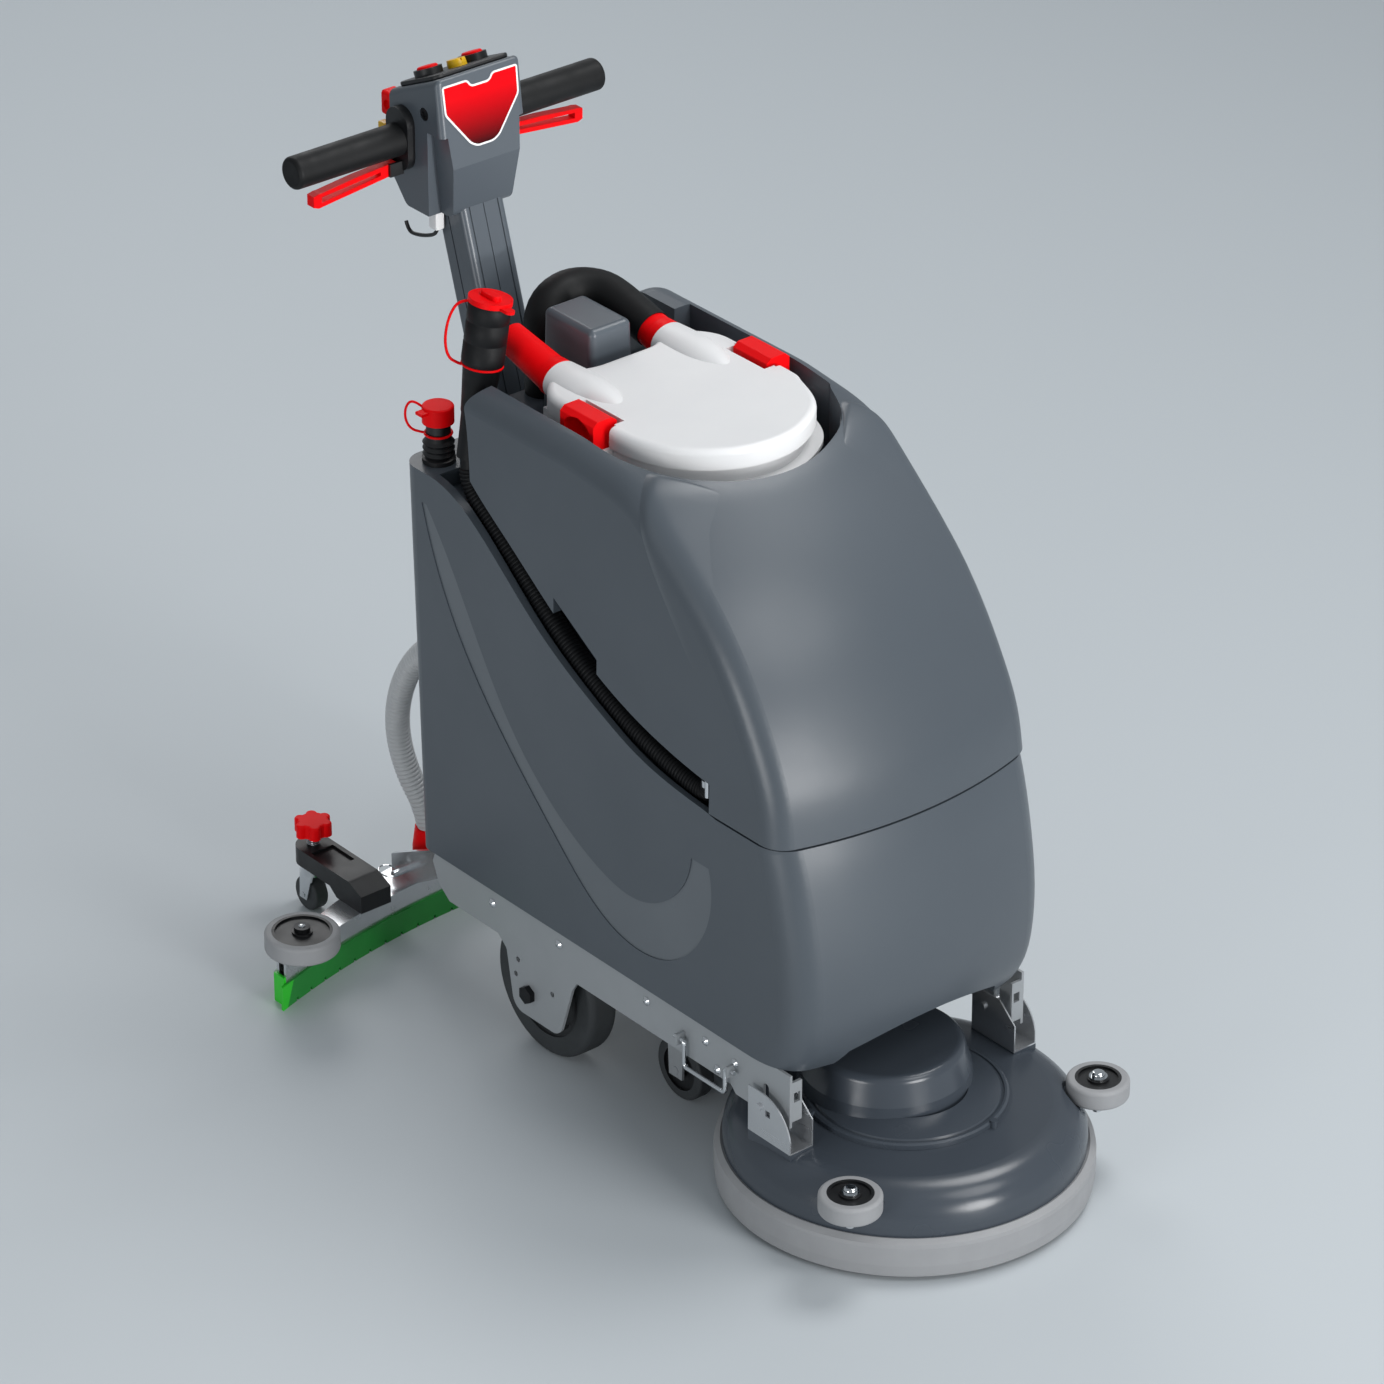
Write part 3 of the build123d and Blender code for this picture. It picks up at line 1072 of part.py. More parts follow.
def deck_profile(radius, top_z, foot_z):
    """Half section of the deck outside, from the axis outwards."""
    with BuildSketch(DECK_SECTION) as half_section:
        with BuildLine():
            Polyline((SHAFT_RADIUS + 4, foot_z), (SHAFT_RADIUS + 4, top_z + 3),
                     (MOTOR_LIP_RADIUS + 4, top_z + 3), (radius - 46, top_z))
            ThreePointArc((radius - 46, top_z), (radius - 14, top_z - 15), (radius, top_z - 49))
            Polyline((radius, top_z - 49), (radius, foot_z), (SHAFT_RADIUS + 4, foot_z))
        make_face()
    return half_section.sketch


with BuildPart() as deck:
    revolve(deck_profile(DECK_RADIUS, DECK_TOP_Z, 36), axis=DECK_AXIS)
    hollow = deck_profile(DECK_RADIUS - DECK_WALL, DECK_TOP_Z - DECK_WALL, 20)
    revolve(hollow, axis=DECK_AXIS, mode=Mode.SUBTRACT)
    with BuildPart(mode=Mode.ADD):
        for sign in (-1, 1):
            with Locations((sign * BUMPER_X, BUMPER_Y, 98)):
                Cylinder(BUMPER_RADIUS + 12, 46)
        revolve(deck_profile(DECK_RADIUS, DECK_TOP_Z, 36), axis=DECK_AXIS, mode=Mode.INTERSECT)
    for sign in (-1, 1):
        with Locations((sign * BUMPER_X, BUMPER_Y, POCKET_FLOOR_Z + 40)):
            Cylinder(BUMPER_RADIUS + 5, 80, mode=Mode.SUBTRACT)
        with Locations((sign * BUMPER_X, BUMPER_Y, 90)):
            Cylinder(BUMPER_BOLT, 80, mode=Mode.SUBTRACT)
        with Locations((sign * (BRACKET_X - BRACKET_WIDTH / 2), back(-17) + 41, BRACKET_Z - 8)):
            Box(BRACKET_WIDTH, 82, 16)
write(deck, "deck_shell")

# Splash skirt gripping the lower wall of the deck
with BuildPart() as skirt:
    with BuildSketch(DECK_SECTION):
        with BuildLine():
            Polyline(
                (DECK_RADIUS, 60), (DECK_RADIUS + 3, 61), (SKIRT_RADIUS - 1, 55), (SKIRT_RADIUS, 50),
                (SKIRT_RADIUS, 24), (SKIRT_RADIUS - 2, SKIRT_BOTTOM_Z), (DECK_RADIUS + 1, SKIRT_BOTTOM_Z),
                (DECK_RADIUS, 20), close=True,
            )
        make_face()
    revolve(axis=DECK_AXIS)
write(skirt, "deck_skirt")

# Motor cover: a lipped disc on the deck with a low drum standing behind the brush axis, and three lugs
MOTOR_FLOOR_Z = DECK_TOP_Z + 3
MOTOR_AXIS = Axis((0, MOTOR_Y, 0), (0, 0, 1))
DRUM_RADIUS = 114.0
DRUM_SECTION = Plane(origin=(0, MOTOR_Y, 0), x_dir=(1, 0, 0), z_dir=(0, -1, 0))


def drum(radius, top_z):
    """Low drum with a stepped side and a rounded upper edge."""
    with BuildPart() as solid:
        with BuildSketch(DRUM_SECTION) as half_drum:
            with BuildLine():
                Polyline((0, MOTOR_FLOOR_Z), (radius, MOTOR_FLOOR_Z), (radius - 3, top_z - 38),
                         (radius - 14, top_z), (0, top_z), close=True)
            make_face()
            fillet(half_drum.vertices().filter_by(lambda v: v.X > 1 and v.Y > top_z - 1), 12)
        revolve(axis=MOTOR_AXIS)
    return solid.part


with BuildPart() as motor_cover:
    with BuildSketch(DECK_SECTION):
        with BuildLine():
            lip = MOTOR_LIP_RADIUS
            Polyline(
                (80, MOTOR_FLOOR_Z), (lip, MOTOR_FLOOR_Z), (lip, MOTOR_FLOOR_Z + 6),
                (lip - 3, MOTOR_FLOOR_Z + 8), (lip - 6, MOTOR_FLOOR_Z + 8), (lip - 7, MOTOR_FLOOR_Z + 6),
                (lip - 9, MOTOR_FLOOR_Z + 6), (lip - 11, MOTOR_FLOOR_Z + 9), (80, MOTOR_FLOOR_Z + 15),
                close=True,
            )
        make_face()
    revolve(axis=DECK_AXIS)
    add(drum(DRUM_RADIUS, MOTOR_TOP_Z))
    add(drum(DRUM_RADIUS - 6, MOTOR_TOP_Z - 6), mode=Mode.SUBTRACT)
    with Locations((0, DECK_Y, MOTOR_FLOOR_Z + 5)):
        with PolarLocations(MOTOR_LIP_RADIUS + 2, 3, start_angle=-75):
            Cylinder(5, 10)
write(motor_cover, "motor_cover")

# Brush motor inside the cover, its shaft through the deck ending in the brush hub
with BuildPart() as motor:
    with Locations((0, DECK_Y, (MOTOR_FLOOR_Z + MOTOR_TOP_Z - 16) / 2)):
        Cylinder(48, MOTOR_TOP_Z - 16 - MOTOR_FLOOR_Z)
    with Locations((0, DECK_Y, MOTOR_FLOOR_Z - 25)):
        Cylinder(SHAFT_RADIUS, 50)
write(motor, "brush_motor")

# Stainless U brackets on the deck round the front ends of the side plates
with BuildPart() as brackets:
    front_y = back(-17)
    with BuildSketch(side_plane(-BRACKET_X)) as cheek:
        with BuildLine():
            Polyline((front_y, BRACKET_Z), (front_y + 82, BRACKET_Z), (front_y + 82, BRACKET_Z + 66),
                     (front_y + 52, BRACKET_Z + 66))
            TangentArc((front_y + 52, BRACKET_Z + 66), (front_y, BRACKET_Z + 18), tangent=(-1, -0.1))
            Line((front_y, BRACKET_Z + 18), (front_y, BRACKET_Z))
        make_face()
        with Locations((front_y + 44, BRACKET_Z + 40)):
            Rectangle(9, 9, mode=Mode.SUBTRACT)
    extrude(amount=2)
    with BuildSketch(side_plane(-BRACKET_X + BRACKET_WIDTH - 2)):
        with BuildLine():
            Polyline((front_y, BRACKET_Z), (front_y + 82, BRACKET_Z), (front_y + 82, BRACKET_Z + 66),
                     (front_y + 30, BRACKET_Z + 66), (front_y, BRACKET_Z + 40), close=True)
        make_face()
    extrude(amount=2)
    with Locations((-BRACKET_X + BRACKET_WIDTH / 2, front_y + 41, BRACKET_Z + 1)):
        Box(BRACKET_WIDTH, 82, 2)
    with Locations(Location((-BRACKET_X + BRACKET_WIDTH / 2, DECK_PIN_Y, DECK_PIN_Z), (0, 90, 0))):
        Cylinder(DECK_PIN, BRACKET_WIDTH + 6)
    mirror(about=Plane.YZ)
write(brackets, "deck_brackets")

# Shoulder bolts of the bumper rollers
with BuildPart() as bolts:
    for sign in (-1, 1):
        with Locations((sign * BUMPER_X, BUMPER_Y, (80 + BUMPER_TOP_Z + GAP) / 2)):
            Cylinder(BUMPER_BOLT, BUMPER_TOP_Z + GAP - 80)
        with Locations((sign * BUMPER_X, BUMPER_Y, BUMPER_TOP_Z + GAP + 1)):
            Cylinder(12, 2)
        with Locations((sign * BUMPER_X, BUMPER_Y, BUMPER_TOP_Z + GAP + 5)):
            Cylinder(9, 6)
    fillet(bolts.edges().group_by(Axis.Z)[-1], 4)
write(bolts, "bumper_bolts")


def roller(x, y, bottom_z, top_z, radius, hub_radius, bore):
    """Bumper roller: a rounded tyre bonded on a dished hub disc."""
    height = top_z - bottom_z
    with BuildPart() as wheel_pair:
        with Locations((x, y, (bottom_z + top_z) / 2)):
            Cylinder(radius, height)
            Cylinder(hub_radius + BOND, height, mode=Mode.SUBTRACT)
        fillet(wheel_pair.edges().filter_by(GeomType.CIRCLE).group_by(SortBy.RADIUS)[-1], 5)
        with Locations((x, y, (bottom_z + top_z) / 2)):
            Cylinder(hub_radius, height)
        with Locations((x, y, top_z)):
            Cylinder(hub_radius - 4, 6, mode=Mode.SUBTRACT)
            Cylinder(bore + 8, 6)
        with Locations((x, y, top_z + 3)):
            Cylinder(bore + 9, 6, mode=Mode.SUBTRACT)
        with Locations((x, y, (bottom_z + top_z) / 2)):
            Cylinder(bore + RUNNING, height + 20, mode=Mode.SUBTRACT)
    return wheel_pair


for side, sign in (("right", -1), ("left", 1)):
    bumper = roller(sign * BUMPER_X, BUMPER_Y, BUMPER_BOTTOM_Z, BUMPER_TOP_Z, BUMPER_RADIUS, 30, BUMPER_BOLT)
    write(bumper, f"bumper_roller_{side}")

# Brush: a disc on the hub of the motor shaft, set with rings of bristle tufts
BRUSH_RADIUS = 214.0
DISC_BOTTOM_Z = 50.0
DISC_TOP_Z = 66.0
with BuildPart() as brush_disc:
    with Locations((0, DECK_Y, (DISC_BOTTOM_Z + DISC_TOP_Z) / 2)):
        Cylinder(BRUSH_RADIUS, DISC_TOP_Z - DISC_BOTTOM_Z)
    with Locations((0, DECK_Y, DISC_TOP_Z + 7)):
        Cylinder(SHAFT_RADIUS + 16, 14)
    with Locations((0, DECK_Y, DISC_TOP_Z)):
        Cylinder(SHAFT_RADIUS + RUNNING, 60, mode=Mode.SUBTRACT)
    with Locations((0, DECK_Y, DISC_TOP_Z)):
        with PolarLocations(96, 6):
            Cylinder(20, 60, mode=Mode.SUBTRACT)
write(brush_disc, "brush_disc")

TUFT = 6.0
TUFT_RINGS = [(138, 58), (160, 68), (182, 80), (204, 96)]
BACKING_T = 3.0
with BuildPart() as bristles:
    tuft_places = []
    for ring_radius, tuft_count in TUFT_RINGS:
        for step in range(tuft_count):
            turn = 360 / tuft_count * step
            place = Location((0, DECK_Y, (DISC_BOTTOM_Z - BACKING_T / 2) / 2), (0, 0, turn))
            tuft_places.append(place * Location((ring_radius, 0, 0)))
    with Locations((0, DECK_Y, DISC_BOTTOM_Z - BACKING_T / 2)):
        Cylinder(BRUSH_RADIUS, BACKING_T)
        Cylinder(TUFT_RINGS[0][0] - 12, BACKING_T, mode=Mode.SUBTRACT)
    with Locations(*tuft_places):
        Box(TUFT, TUFT, DISC_BOTTOM_Z - BACKING_T / 2)
write(bristles, "brush_bristles")

# Squeegee: crescent steel channel with its blades, port and the two hitch arms welded on
CHANNEL_HALF = BLADE_TIP_X - 12
SHEET_T = 4.0
# Rear edge of the crescent: an arc through the middle depth and the depth at the tips
BLADE_TIP_Y = BLADE_CENTRE_Y + sqrt(BLADE_RADIUS ** 2 - BLADE_TIP_X ** 2)
REAR_MIDDLE_Y = BLADE_CENTRE_Y + BLADE_RADIUS + CHANNEL_DEPTH
REAR_SAGITTA = REAR_MIDDLE_Y - BLADE_TIP_Y - CHANNEL_END_DEPTH
REAR_RADIUS = (BLADE_TIP_X ** 2 + REAR_SAGITTA ** 2) / (2 * REAR_SAGITTA)


def front_arc(shift):
    """Centre and radius of the front edge, moved to the rear by a shift."""
    return BLADE_CENTRE_Y, BLADE_RADIUS + shift


def rear_arc(shift):
    """Centre and radius of the rear edge, moved to the rear by a shift."""
    return REAR_MIDDLE_Y - REAR_RADIUS, REAR_RADIUS + shift


def arc_y(arc, x):
    """Y of an edge arc at this x."""
    return arc[0] + sqrt(arc[1] ** 2 - x ** 2)


def bowed(front, rear, half_width):
    """Plan of a strip between two edge arcs, cut off square at each end."""
    with BuildSketch() as strip:
        with BuildLine():
            for arc in (front, rear):
                ThreePointArc((-half_width, arc_y(arc, half_width)), (0, arc_y(arc, 0)),
                              (half_width, arc_y(arc, half_width)))
            for x in (-half_width, half_width):
                Line((x, arc_y(front, half_width)), (x, arc_y(rear, half_width)))
        make_face()
    return strip.sketch


FLANGE_BOTTOM_Z = 22.0
PORT_Y = (arc_y(front_arc(0), PORT_X) + arc_y(rear_arc(0), PORT_X)) / 2
PORT_TOP_Z = 94.0
SHEET_BOTTOM_Z = CHANNEL_TOP_Z - SHEET_T
ROLLER_Y = arc_y(front_arc(0), ROLLER_X) - 9
with BuildPart() as channel:
    extrude(Plane.XY.offset(SHEET_BOTTOM_Z) * bowed(front_arc(0), rear_arc(0), CHANNEL_HALF), amount=SHEET_T)
    extrude(Plane.XY.offset(FLANGE_BOTTOM_Z) * bowed(front_arc(0), front_arc(SHEET_T), CHANNEL_HALF),
            amount=CHANNEL_TOP_Z - FLANGE_BOTTOM_Z)
    extrude(Plane.XY.offset(FLANGE_BOTTOM_Z) * bowed(rear_arc(-SHEET_T), rear_arc(0), CHANNEL_HALF),
            amount=CHANNEL_TOP_Z - FLANGE_BOTTOM_Z)
    tab_z = SHEET_BOTTOM_Z + SHEET_T / 2
    with Locations((-ROLLER_X, ROLLER_Y, tab_z), (ROLLER_X, ROLLER_Y, tab_z)):
        Cylinder(20, SHEET_T)
    with Locations((PORT_X, PORT_Y, (SHEET_BOTTOM_Z + PORT_TOP_Z) / 2)):
        Cylinder(PORT_RADIUS, PORT_TOP_Z - SHEET_BOTTOM_Z)
        Cylinder(PORT_RADIUS - 4, PORT_TOP_Z - SHEET_BOTTOM_Z + 20, mode=Mode.SUBTRACT)
    for sign in (-1, 1):
        with BuildSketch(side_plane(sign * HITCH_X - 4)):
            with BuildLine():
                Polyline(
                    (HITCH_Y - 8, HITCH_Z + 11), (HITCH_Y + 10, HITCH_Z + 11), (back(940), 92),
                    (back(940), CHANNEL_TOP_Z), (back(890), CHANNEL_TOP_Z), (HITCH_Y - 8, HITCH_Z - 11),
                    close=True,
                )
            make_face()
        extrude(amount=8)
        with Locations((sign * ROLLER_X, ROLLER_Y, (CHANNEL_TOP_Z + ROLLER_BOTTOM_Z - GAP) / 2)):
            Cylinder(ROLLER_BOLT + 4, ROLLER_BOTTOM_Z - GAP - CHANNEL_TOP_Z)
        with Locations((sign * ROLLER_X, ROLLER_Y, (CHANNEL_TOP_Z + ROLLER_TOP_Z + GAP) / 2)):
            Cylinder(ROLLER_BOLT, ROLLER_TOP_Z + GAP - CHANNEL_TOP_Z)
        with Locations((sign * ROLLER_X, ROLLER_Y, ROLLER_TOP_Z + GAP + 3)):
            Cylinder(ROLLER_BOLT + 5, 6)
    with Locations(Location((0, HITCH_Y, HITCH_Z), (0, 90, 0))):
        Cylinder(HITCH_PIN + 5, 2 * (HITCH_X + 18))
        Cylinder(HITCH_PIN + RUNNING, 2 * (HITCH_X + 22), mode=Mode.SUBTRACT)
write(channel, "squeegee_channel")

BLADE_TOP_Z = 36.0
NOTCH_COUNT = 24
with BuildPart() as front_blade:
    extrude(bowed(front_arc(-BLADE_T), front_arc(0), BLADE_TIP_X), amount=BLADE_TOP_Z)
    notch_places = []
    tip_angle = degrees(asin(BLADE_TIP_X / BLADE_RADIUS))
    for step in range(NOTCH_COUNT):
        turn = (2 * step - NOTCH_COUNT + 1) * (tip_angle - 0.8) / NOTCH_COUNT
        spot = Location((0, BLADE_CENTRE_Y, 0), (0, 0, 90 + turn))
        notch_places.append(spot * Location((BLADE_RADIUS - BLADE_T / 2, 0, 0)))
    with Locations(*notch_places):
        Box(BLADE_T + 2, 4, 10, mode=Mode.SUBTRACT)
write(front_blade, "front_blade")

REAR_BLADE_TOP_Z = BLADE_TOP_Z + 8
with BuildPart() as rear_blade:
    extrude(bowed(rear_arc(0), rear_arc(BLADE_T), CHANNEL_HALF + BLADE_T), amount=REAR_BLADE_TOP_Z)
    for sign in (-1, 1):
        end_front_y = arc_y(front_arc(GAP), CHANNEL_HALF)
        end_rear_y = arc_y(rear_arc(BLADE_T), CHANNEL_HALF + BLADE_T)
        end_x = sign * (CHANNEL_HALF + BLADE_T / 2)
        with Locations((end_x, (end_front_y + end_rear_y) / 2, REAR_BLADE_TOP_Z / 2)):
            Box(BLADE_T, end_rear_y - end_front_y, REAR_BLADE_TOP_Z)
write(rear_blade, "rear_blade")

# Caster arms bolted on the channel, with a round rear end for the height screw and the caster stem
SCREW_RADIUS = 6.0
STEM_RADIUS = 7.0
with BuildPart() as arms:
    for sign in (-1, 1):
        with BuildSketch(side_plane(sign * ARM_X - 25)) as arm_side:
            with BuildLine():
                Polyline(
                    (back(872), CHANNEL_TOP_Z), (back(928), CHANNEL_TOP_Z), (back(944), ARM_BOTTOM_Z),
                    (KNOB_Y, ARM_BOTTOM_Z), (KNOB_Y, ARM_TOP_Z), (back(900), ARM_TOP_Z), (back(872), 92),
                    close=True,
                )
            make_face()
            fillet(arm_side.vertices().group_by(Axis.Y)[-1].sort_by(Axis.X)[0], 14)
        extrude(amount=50)
        with Locations((sign * ARM_X, KNOB_Y, (ARM_TOP_Z + ARM_BOTTOM_Z) / 2)):
            Cylinder(25, ARM_TOP_Z - ARM_BOTTOM_Z)
        with Locations((sign * ARM_X, back(968), ARM_TOP_Z)):
            Box(36, 50, 8, mode=Mode.SUBTRACT)
        with Locations((sign * ARM_X, KNOB_Y, ARM_TOP_Z)):
            Cylinder(SCREW_RADIUS + RUNNING, 30, mode=Mode.SUBTRACT)
        with Locations((sign * ARM_X, KNOB_Y, ARM_BOTTOM_Z)):
            Cylinder(STEM_RADIUS + RUNNING, 20, mode=Mode.SUBTRACT)
write(arms, "caster_arms")

KNOB_BOTTOM_Z = 122.0
KNOB_RADIUS = 27.0
for side, sign in (("right", -1), ("left", 1)):
    with BuildPart() as knob:
        with BuildSketch(Plane.XY.offset(KNOB_BOTTOM_Z)):
            with Locations((sign * ARM_X, KNOB_Y)):
                Circle(KNOB_RADIUS - 6)
                with PolarLocations(KNOB_RADIUS - 8, 6):
                    Circle(8)
        extrude(amount=20)
        fillet(knob.edges().group_by(Axis.Z)[-1], 3)
        with Locations((sign * ARM_X, KNOB_Y, KNOB_BOTTOM_Z - 3)):
            Cylinder(12, 6)
        with Locations((sign * ARM_X, KNOB_Y, (KNOB_BOTTOM_Z + ARM_TOP_Z - 14) / 2)):
            Cylinder(SCREW_RADIUS, KNOB_BOTTOM_Z - ARM_TOP_Z + 14)
    write(knob, f"height_knob_{side}")

    with BuildPart() as fork:
        with Locations((sign * ARM_X, KNOB_Y, ARM_BOTTOM_Z - GAP - 8)):
            Cylinder(20, 16)
        with Locations((sign * ARM_X, KNOB_Y, ARM_BOTTOM_Z + 3)):
            Cylinder(STEM_RADIUS, 12)
        axle_y = KNOB_Y + CASTER_TRAIL
        for cheek in (-1, 1):
            with BuildSketch(side_plane(sign * ARM_X + cheek * (CASTER_WIDTH / 2 + 2.5) - 1.5)):
                with BuildLine():
                    Polyline(
                        (KNOB_Y - 14, ARM_BOTTOM_Z - 12), (KNOB_Y + 14, ARM_BOTTOM_Z - 12),
                        (axle_y + 8, CASTER_RADIUS - 6), (axle_y - 8, CASTER_RADIUS - 6), close=True,
                    )
                make_face()
            extrude(amount=3)
        with Locations(Location((sign * ARM_X, axle_y, CASTER_RADIUS), (0, 90, 0))):
            Cylinder(4, CASTER_WIDTH + 10)
    write(fork, f"caster_fork_{side}")

    with BuildPart() as caster:
        with Locations(Location((sign * ARM_X, axle_y, CASTER_RADIUS), (0, 90, 0))):
            Cylinder(CASTER_RADIUS, CASTER_WIDTH)
            Cylinder(4 + RUNNING, CASTER_WIDTH + 4, mode=Mode.SUBTRACT)
        fillet(caster.edges().filter_by(GeomType.CIRCLE).sort_by(SortBy.RADIUS)[-2:], 4)
    write(caster, f"caster_wheel_{side}")

    end_roller = roller(
        sign * ROLLER_X, ROLLER_Y, ROLLER_BOTTOM_Z, ROLLER_TOP_Z, ROLLER_RADIUS, 41, ROLLER_BOLT)
    write(end_roller, f"end_roller_{side}")

# Red cuff on the squeegee port, and the grey ribbed hose from it up to the rear of the tank
CUFF_TOP_Z = 124.0
with BuildPart() as port_cuff:
    with BuildSketch(Plane(origin=(PORT_X, PORT_Y, 0), x_dir=(1, 0, 0), z_dir=(0, -1, 0))):
        with BuildLine():
            Polyline(
                (PORT_RADIUS, PORT_TOP_Z - 14), (PORT_RADIUS + 5, PORT_TOP_Z - 14),
                (PORT_RADIUS + 5, PORT_TOP_Z), (PORT_RADIUS + 1, CUFF_TOP_Z), (HOSE_RADIUS + GAP, CUFF_TOP_Z),
                (HOSE_RADIUS + GAP, PORT_TOP_Z), (PORT_RADIUS, PORT_TOP_Z), close=True,
            )
        make_face()
    revolve(axis=Axis((PORT_X, PORT_Y, 0), (0, 0, 1)))
write(port_cuff, "squeegee_cuff")

squeegee_points = [
    (PORT_X, PORT_Y, PORT_TOP_Z + GAP), (PORT_X, PORT_Y, 140), (-76, back(952), 215), (-86, back(955), 300),
    (-84, back(920), 390), (-74, back(856), 452), (-70, back(812), 480), (-70, back(770), 480),
]
squeegee_hose = ribbed_hose(squeegee_points, 11.0, HOSE_RADIUS - 2.5, HOSE_RADIUS, HOSE_BORE - 1, (1, 0, 0))
write(squeegee_hose, "squeegee_hose")
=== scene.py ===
import math

import bmesh
import bpy
from mathutils import Matrix, Vector
from mathutils.bvhtree import BVHTree


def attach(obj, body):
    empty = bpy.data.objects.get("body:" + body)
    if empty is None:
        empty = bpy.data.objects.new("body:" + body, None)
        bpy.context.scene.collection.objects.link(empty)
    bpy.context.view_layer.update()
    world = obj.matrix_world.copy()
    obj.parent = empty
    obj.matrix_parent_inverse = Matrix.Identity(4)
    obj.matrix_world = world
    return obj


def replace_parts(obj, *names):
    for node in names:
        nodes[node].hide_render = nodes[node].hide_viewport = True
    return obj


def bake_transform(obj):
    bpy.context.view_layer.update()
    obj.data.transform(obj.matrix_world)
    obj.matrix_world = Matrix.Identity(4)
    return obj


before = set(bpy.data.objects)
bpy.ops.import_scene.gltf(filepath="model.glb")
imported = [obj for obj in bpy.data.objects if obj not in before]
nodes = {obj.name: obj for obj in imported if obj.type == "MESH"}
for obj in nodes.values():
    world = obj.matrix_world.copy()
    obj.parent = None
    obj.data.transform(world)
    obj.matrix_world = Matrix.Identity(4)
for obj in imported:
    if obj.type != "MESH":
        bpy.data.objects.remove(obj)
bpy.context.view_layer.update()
scene = bpy.context.scene

# Chassis: two long side plates of laser-cut steel with cross plates, powder coated in satin silver
# grey. It carries everything else. Dome screws hold the tank and the bail's ears to the plates.


def linear(code):
    """An sRGB hex colour as linear RGBA."""
    shares = [int(code[i:i + 2], 16) / 255 for i in (1, 3, 5)]
    return [s / 12.92 if s <= 0.04045 else ((s + 0.055) / 1.055) ** 2.4 for s in shares] + [1.0]


def add_node(material, kind, inputs=None, **settings):
    """Adds one shader node, sets it up and links or fills its sockets."""
    made = material.node_tree.nodes.new(kind)
    for name, value in settings.items():
        setattr(made, name, value)
    for socket, value in (inputs or {}).items():
        if isinstance(value, bpy.types.NodeSocket):
            material.node_tree.links.new(value, made.inputs[socket])
        else:
            made.inputs[socket].default_value = value
    return made


# Most of a patch's tones lie in this range of shares.
TONE_LOW, TONE_HIGH = 0.3, 0.7


def surface(name, light, dark, patch, grain, depth, gloss, matt, metal=0.0, stretch=(1, 1, 1),
            sheen=0.5, fade=None):
    """A finish with slow patches of two tones, a fine grain that breaks the light, and uneven gloss.
    patch and grain are sizes in mm, depth is the grain's height in mm, gloss and matt bound the
    roughness, sheen is the strength of the mirror light. fade gives a low and a high level in mm and
    the colour that the tones go over to at the low one. A grain is drawn no finer than 0.6 mm, which
    is coarser than on the real piece, so that it still shows."""
    material = bpy.data.materials.new(name)
    material.use_nodes = True
    material.node_tree.nodes.clear()
    place = add_node(material, "ShaderNodeTexCoord").outputs["Object"]
    run = add_node(material, "ShaderNodeMapping", {"Vector": place, "Scale": stretch}).outputs["Vector"]
    tone = add_node(material, "ShaderNodeTexNoise", {"Vector": run, "Scale": 1000 / patch, "Detail": 3.0})
    colour = add_node(material, "ShaderNodeMix", {
        0: tone.outputs["Fac"], 6: linear(light), 7: linear(dark)}, data_type="RGBA")
    if fade:
        level = add_node(material, "ShaderNodeSeparateXYZ", {"Vector": place}).outputs["Z"]
        share = add_node(material, "ShaderNodeMapRange", {
            "Value": level, "From Min": fade[0] / 1000, "From Max": fade[1] / 1000})
        colour = add_node(material, "ShaderNodeMix", {
            0: share.outputs["Result"], 6: linear(fade[2]), 7: colour.outputs[2]}, data_type="RGBA")
    peel = add_node(material, "ShaderNodeTexNoise", {"Vector": run, "Scale": 1000 / grain, "Detail": 2.0})
    shine = add_node(material, "ShaderNodeMapRange", {
        "Value": tone.outputs["Fac"], "From Min": TONE_LOW, "From Max": TONE_HIGH,
        "To Min": gloss, "To Max": matt})
    bump = add_node(material, "ShaderNodeBump", {
        "Height": peel.outputs["Fac"], "Strength": 1.0, "Distance": depth / 1000})
    shader = add_node(material, "ShaderNodeBsdfPrincipled", {
        "Base Color": colour.outputs[2], "Roughness": shine.outputs["Result"], "Metallic": metal,
        "Specular IOR Level": sheen, "Normal": bump.outputs["Normal"]})
    add_node(material, "ShaderNodeOutputMaterial", {"Surface": shader.outputs["BSDF"]})
    return material


def dress(material, *names):
    """Gives CAD nodes a finish."""
    for name in names:
        nodes[name].data.materials.clear()
        nodes[name].data.materials.append(material)


def turn(form, stations, segments=24, seat=Matrix()):
    """Draws a turned shape into a form ring by ring, from (height, radius) stations in mm, and seats it."""
    height, radius = stations[0]
    ring = bmesh.ops.create_circle(form, segments=segments, radius=radius / 1000)["verts"]
    bmesh.ops.translate(form, verts=ring, vec=(0, 0, height / 1000))
    made = list(ring)
    rim = list({edge for vert in ring for edge in vert.link_edges})
    for (low, narrow), (high, wide) in zip(stations, stations[1:]):
        drawn = bmesh.ops.extrude_edge_only(form, edges=rim)["geom"]
        ring = [part for part in drawn if isinstance(part, bmesh.types.BMVert)]
        on_ring = set(ring)
        rim = [part for part in drawn
               if isinstance(part, bmesh.types.BMEdge) and on_ring.issuperset(part.verts)]
        bmesh.ops.scale(form, verts=ring, vec=(wide / narrow, wide / narrow, 1))
        bmesh.ops.translate(form, verts=ring, vec=(0, 0, (high - low) / 1000))
        made += ring
    bmesh.ops.transform(form, verts=made, matrix=seat)
    return made


def stand(place, direction):
    """Seat of a turned shape: its foot at a place in mm, its axis along a direction."""
    lean = Vector(direction).to_track_quat("Z", "Y").to_matrix().to_4x4()
    return Matrix.Translation(Vector(place) / 1000) @ lean


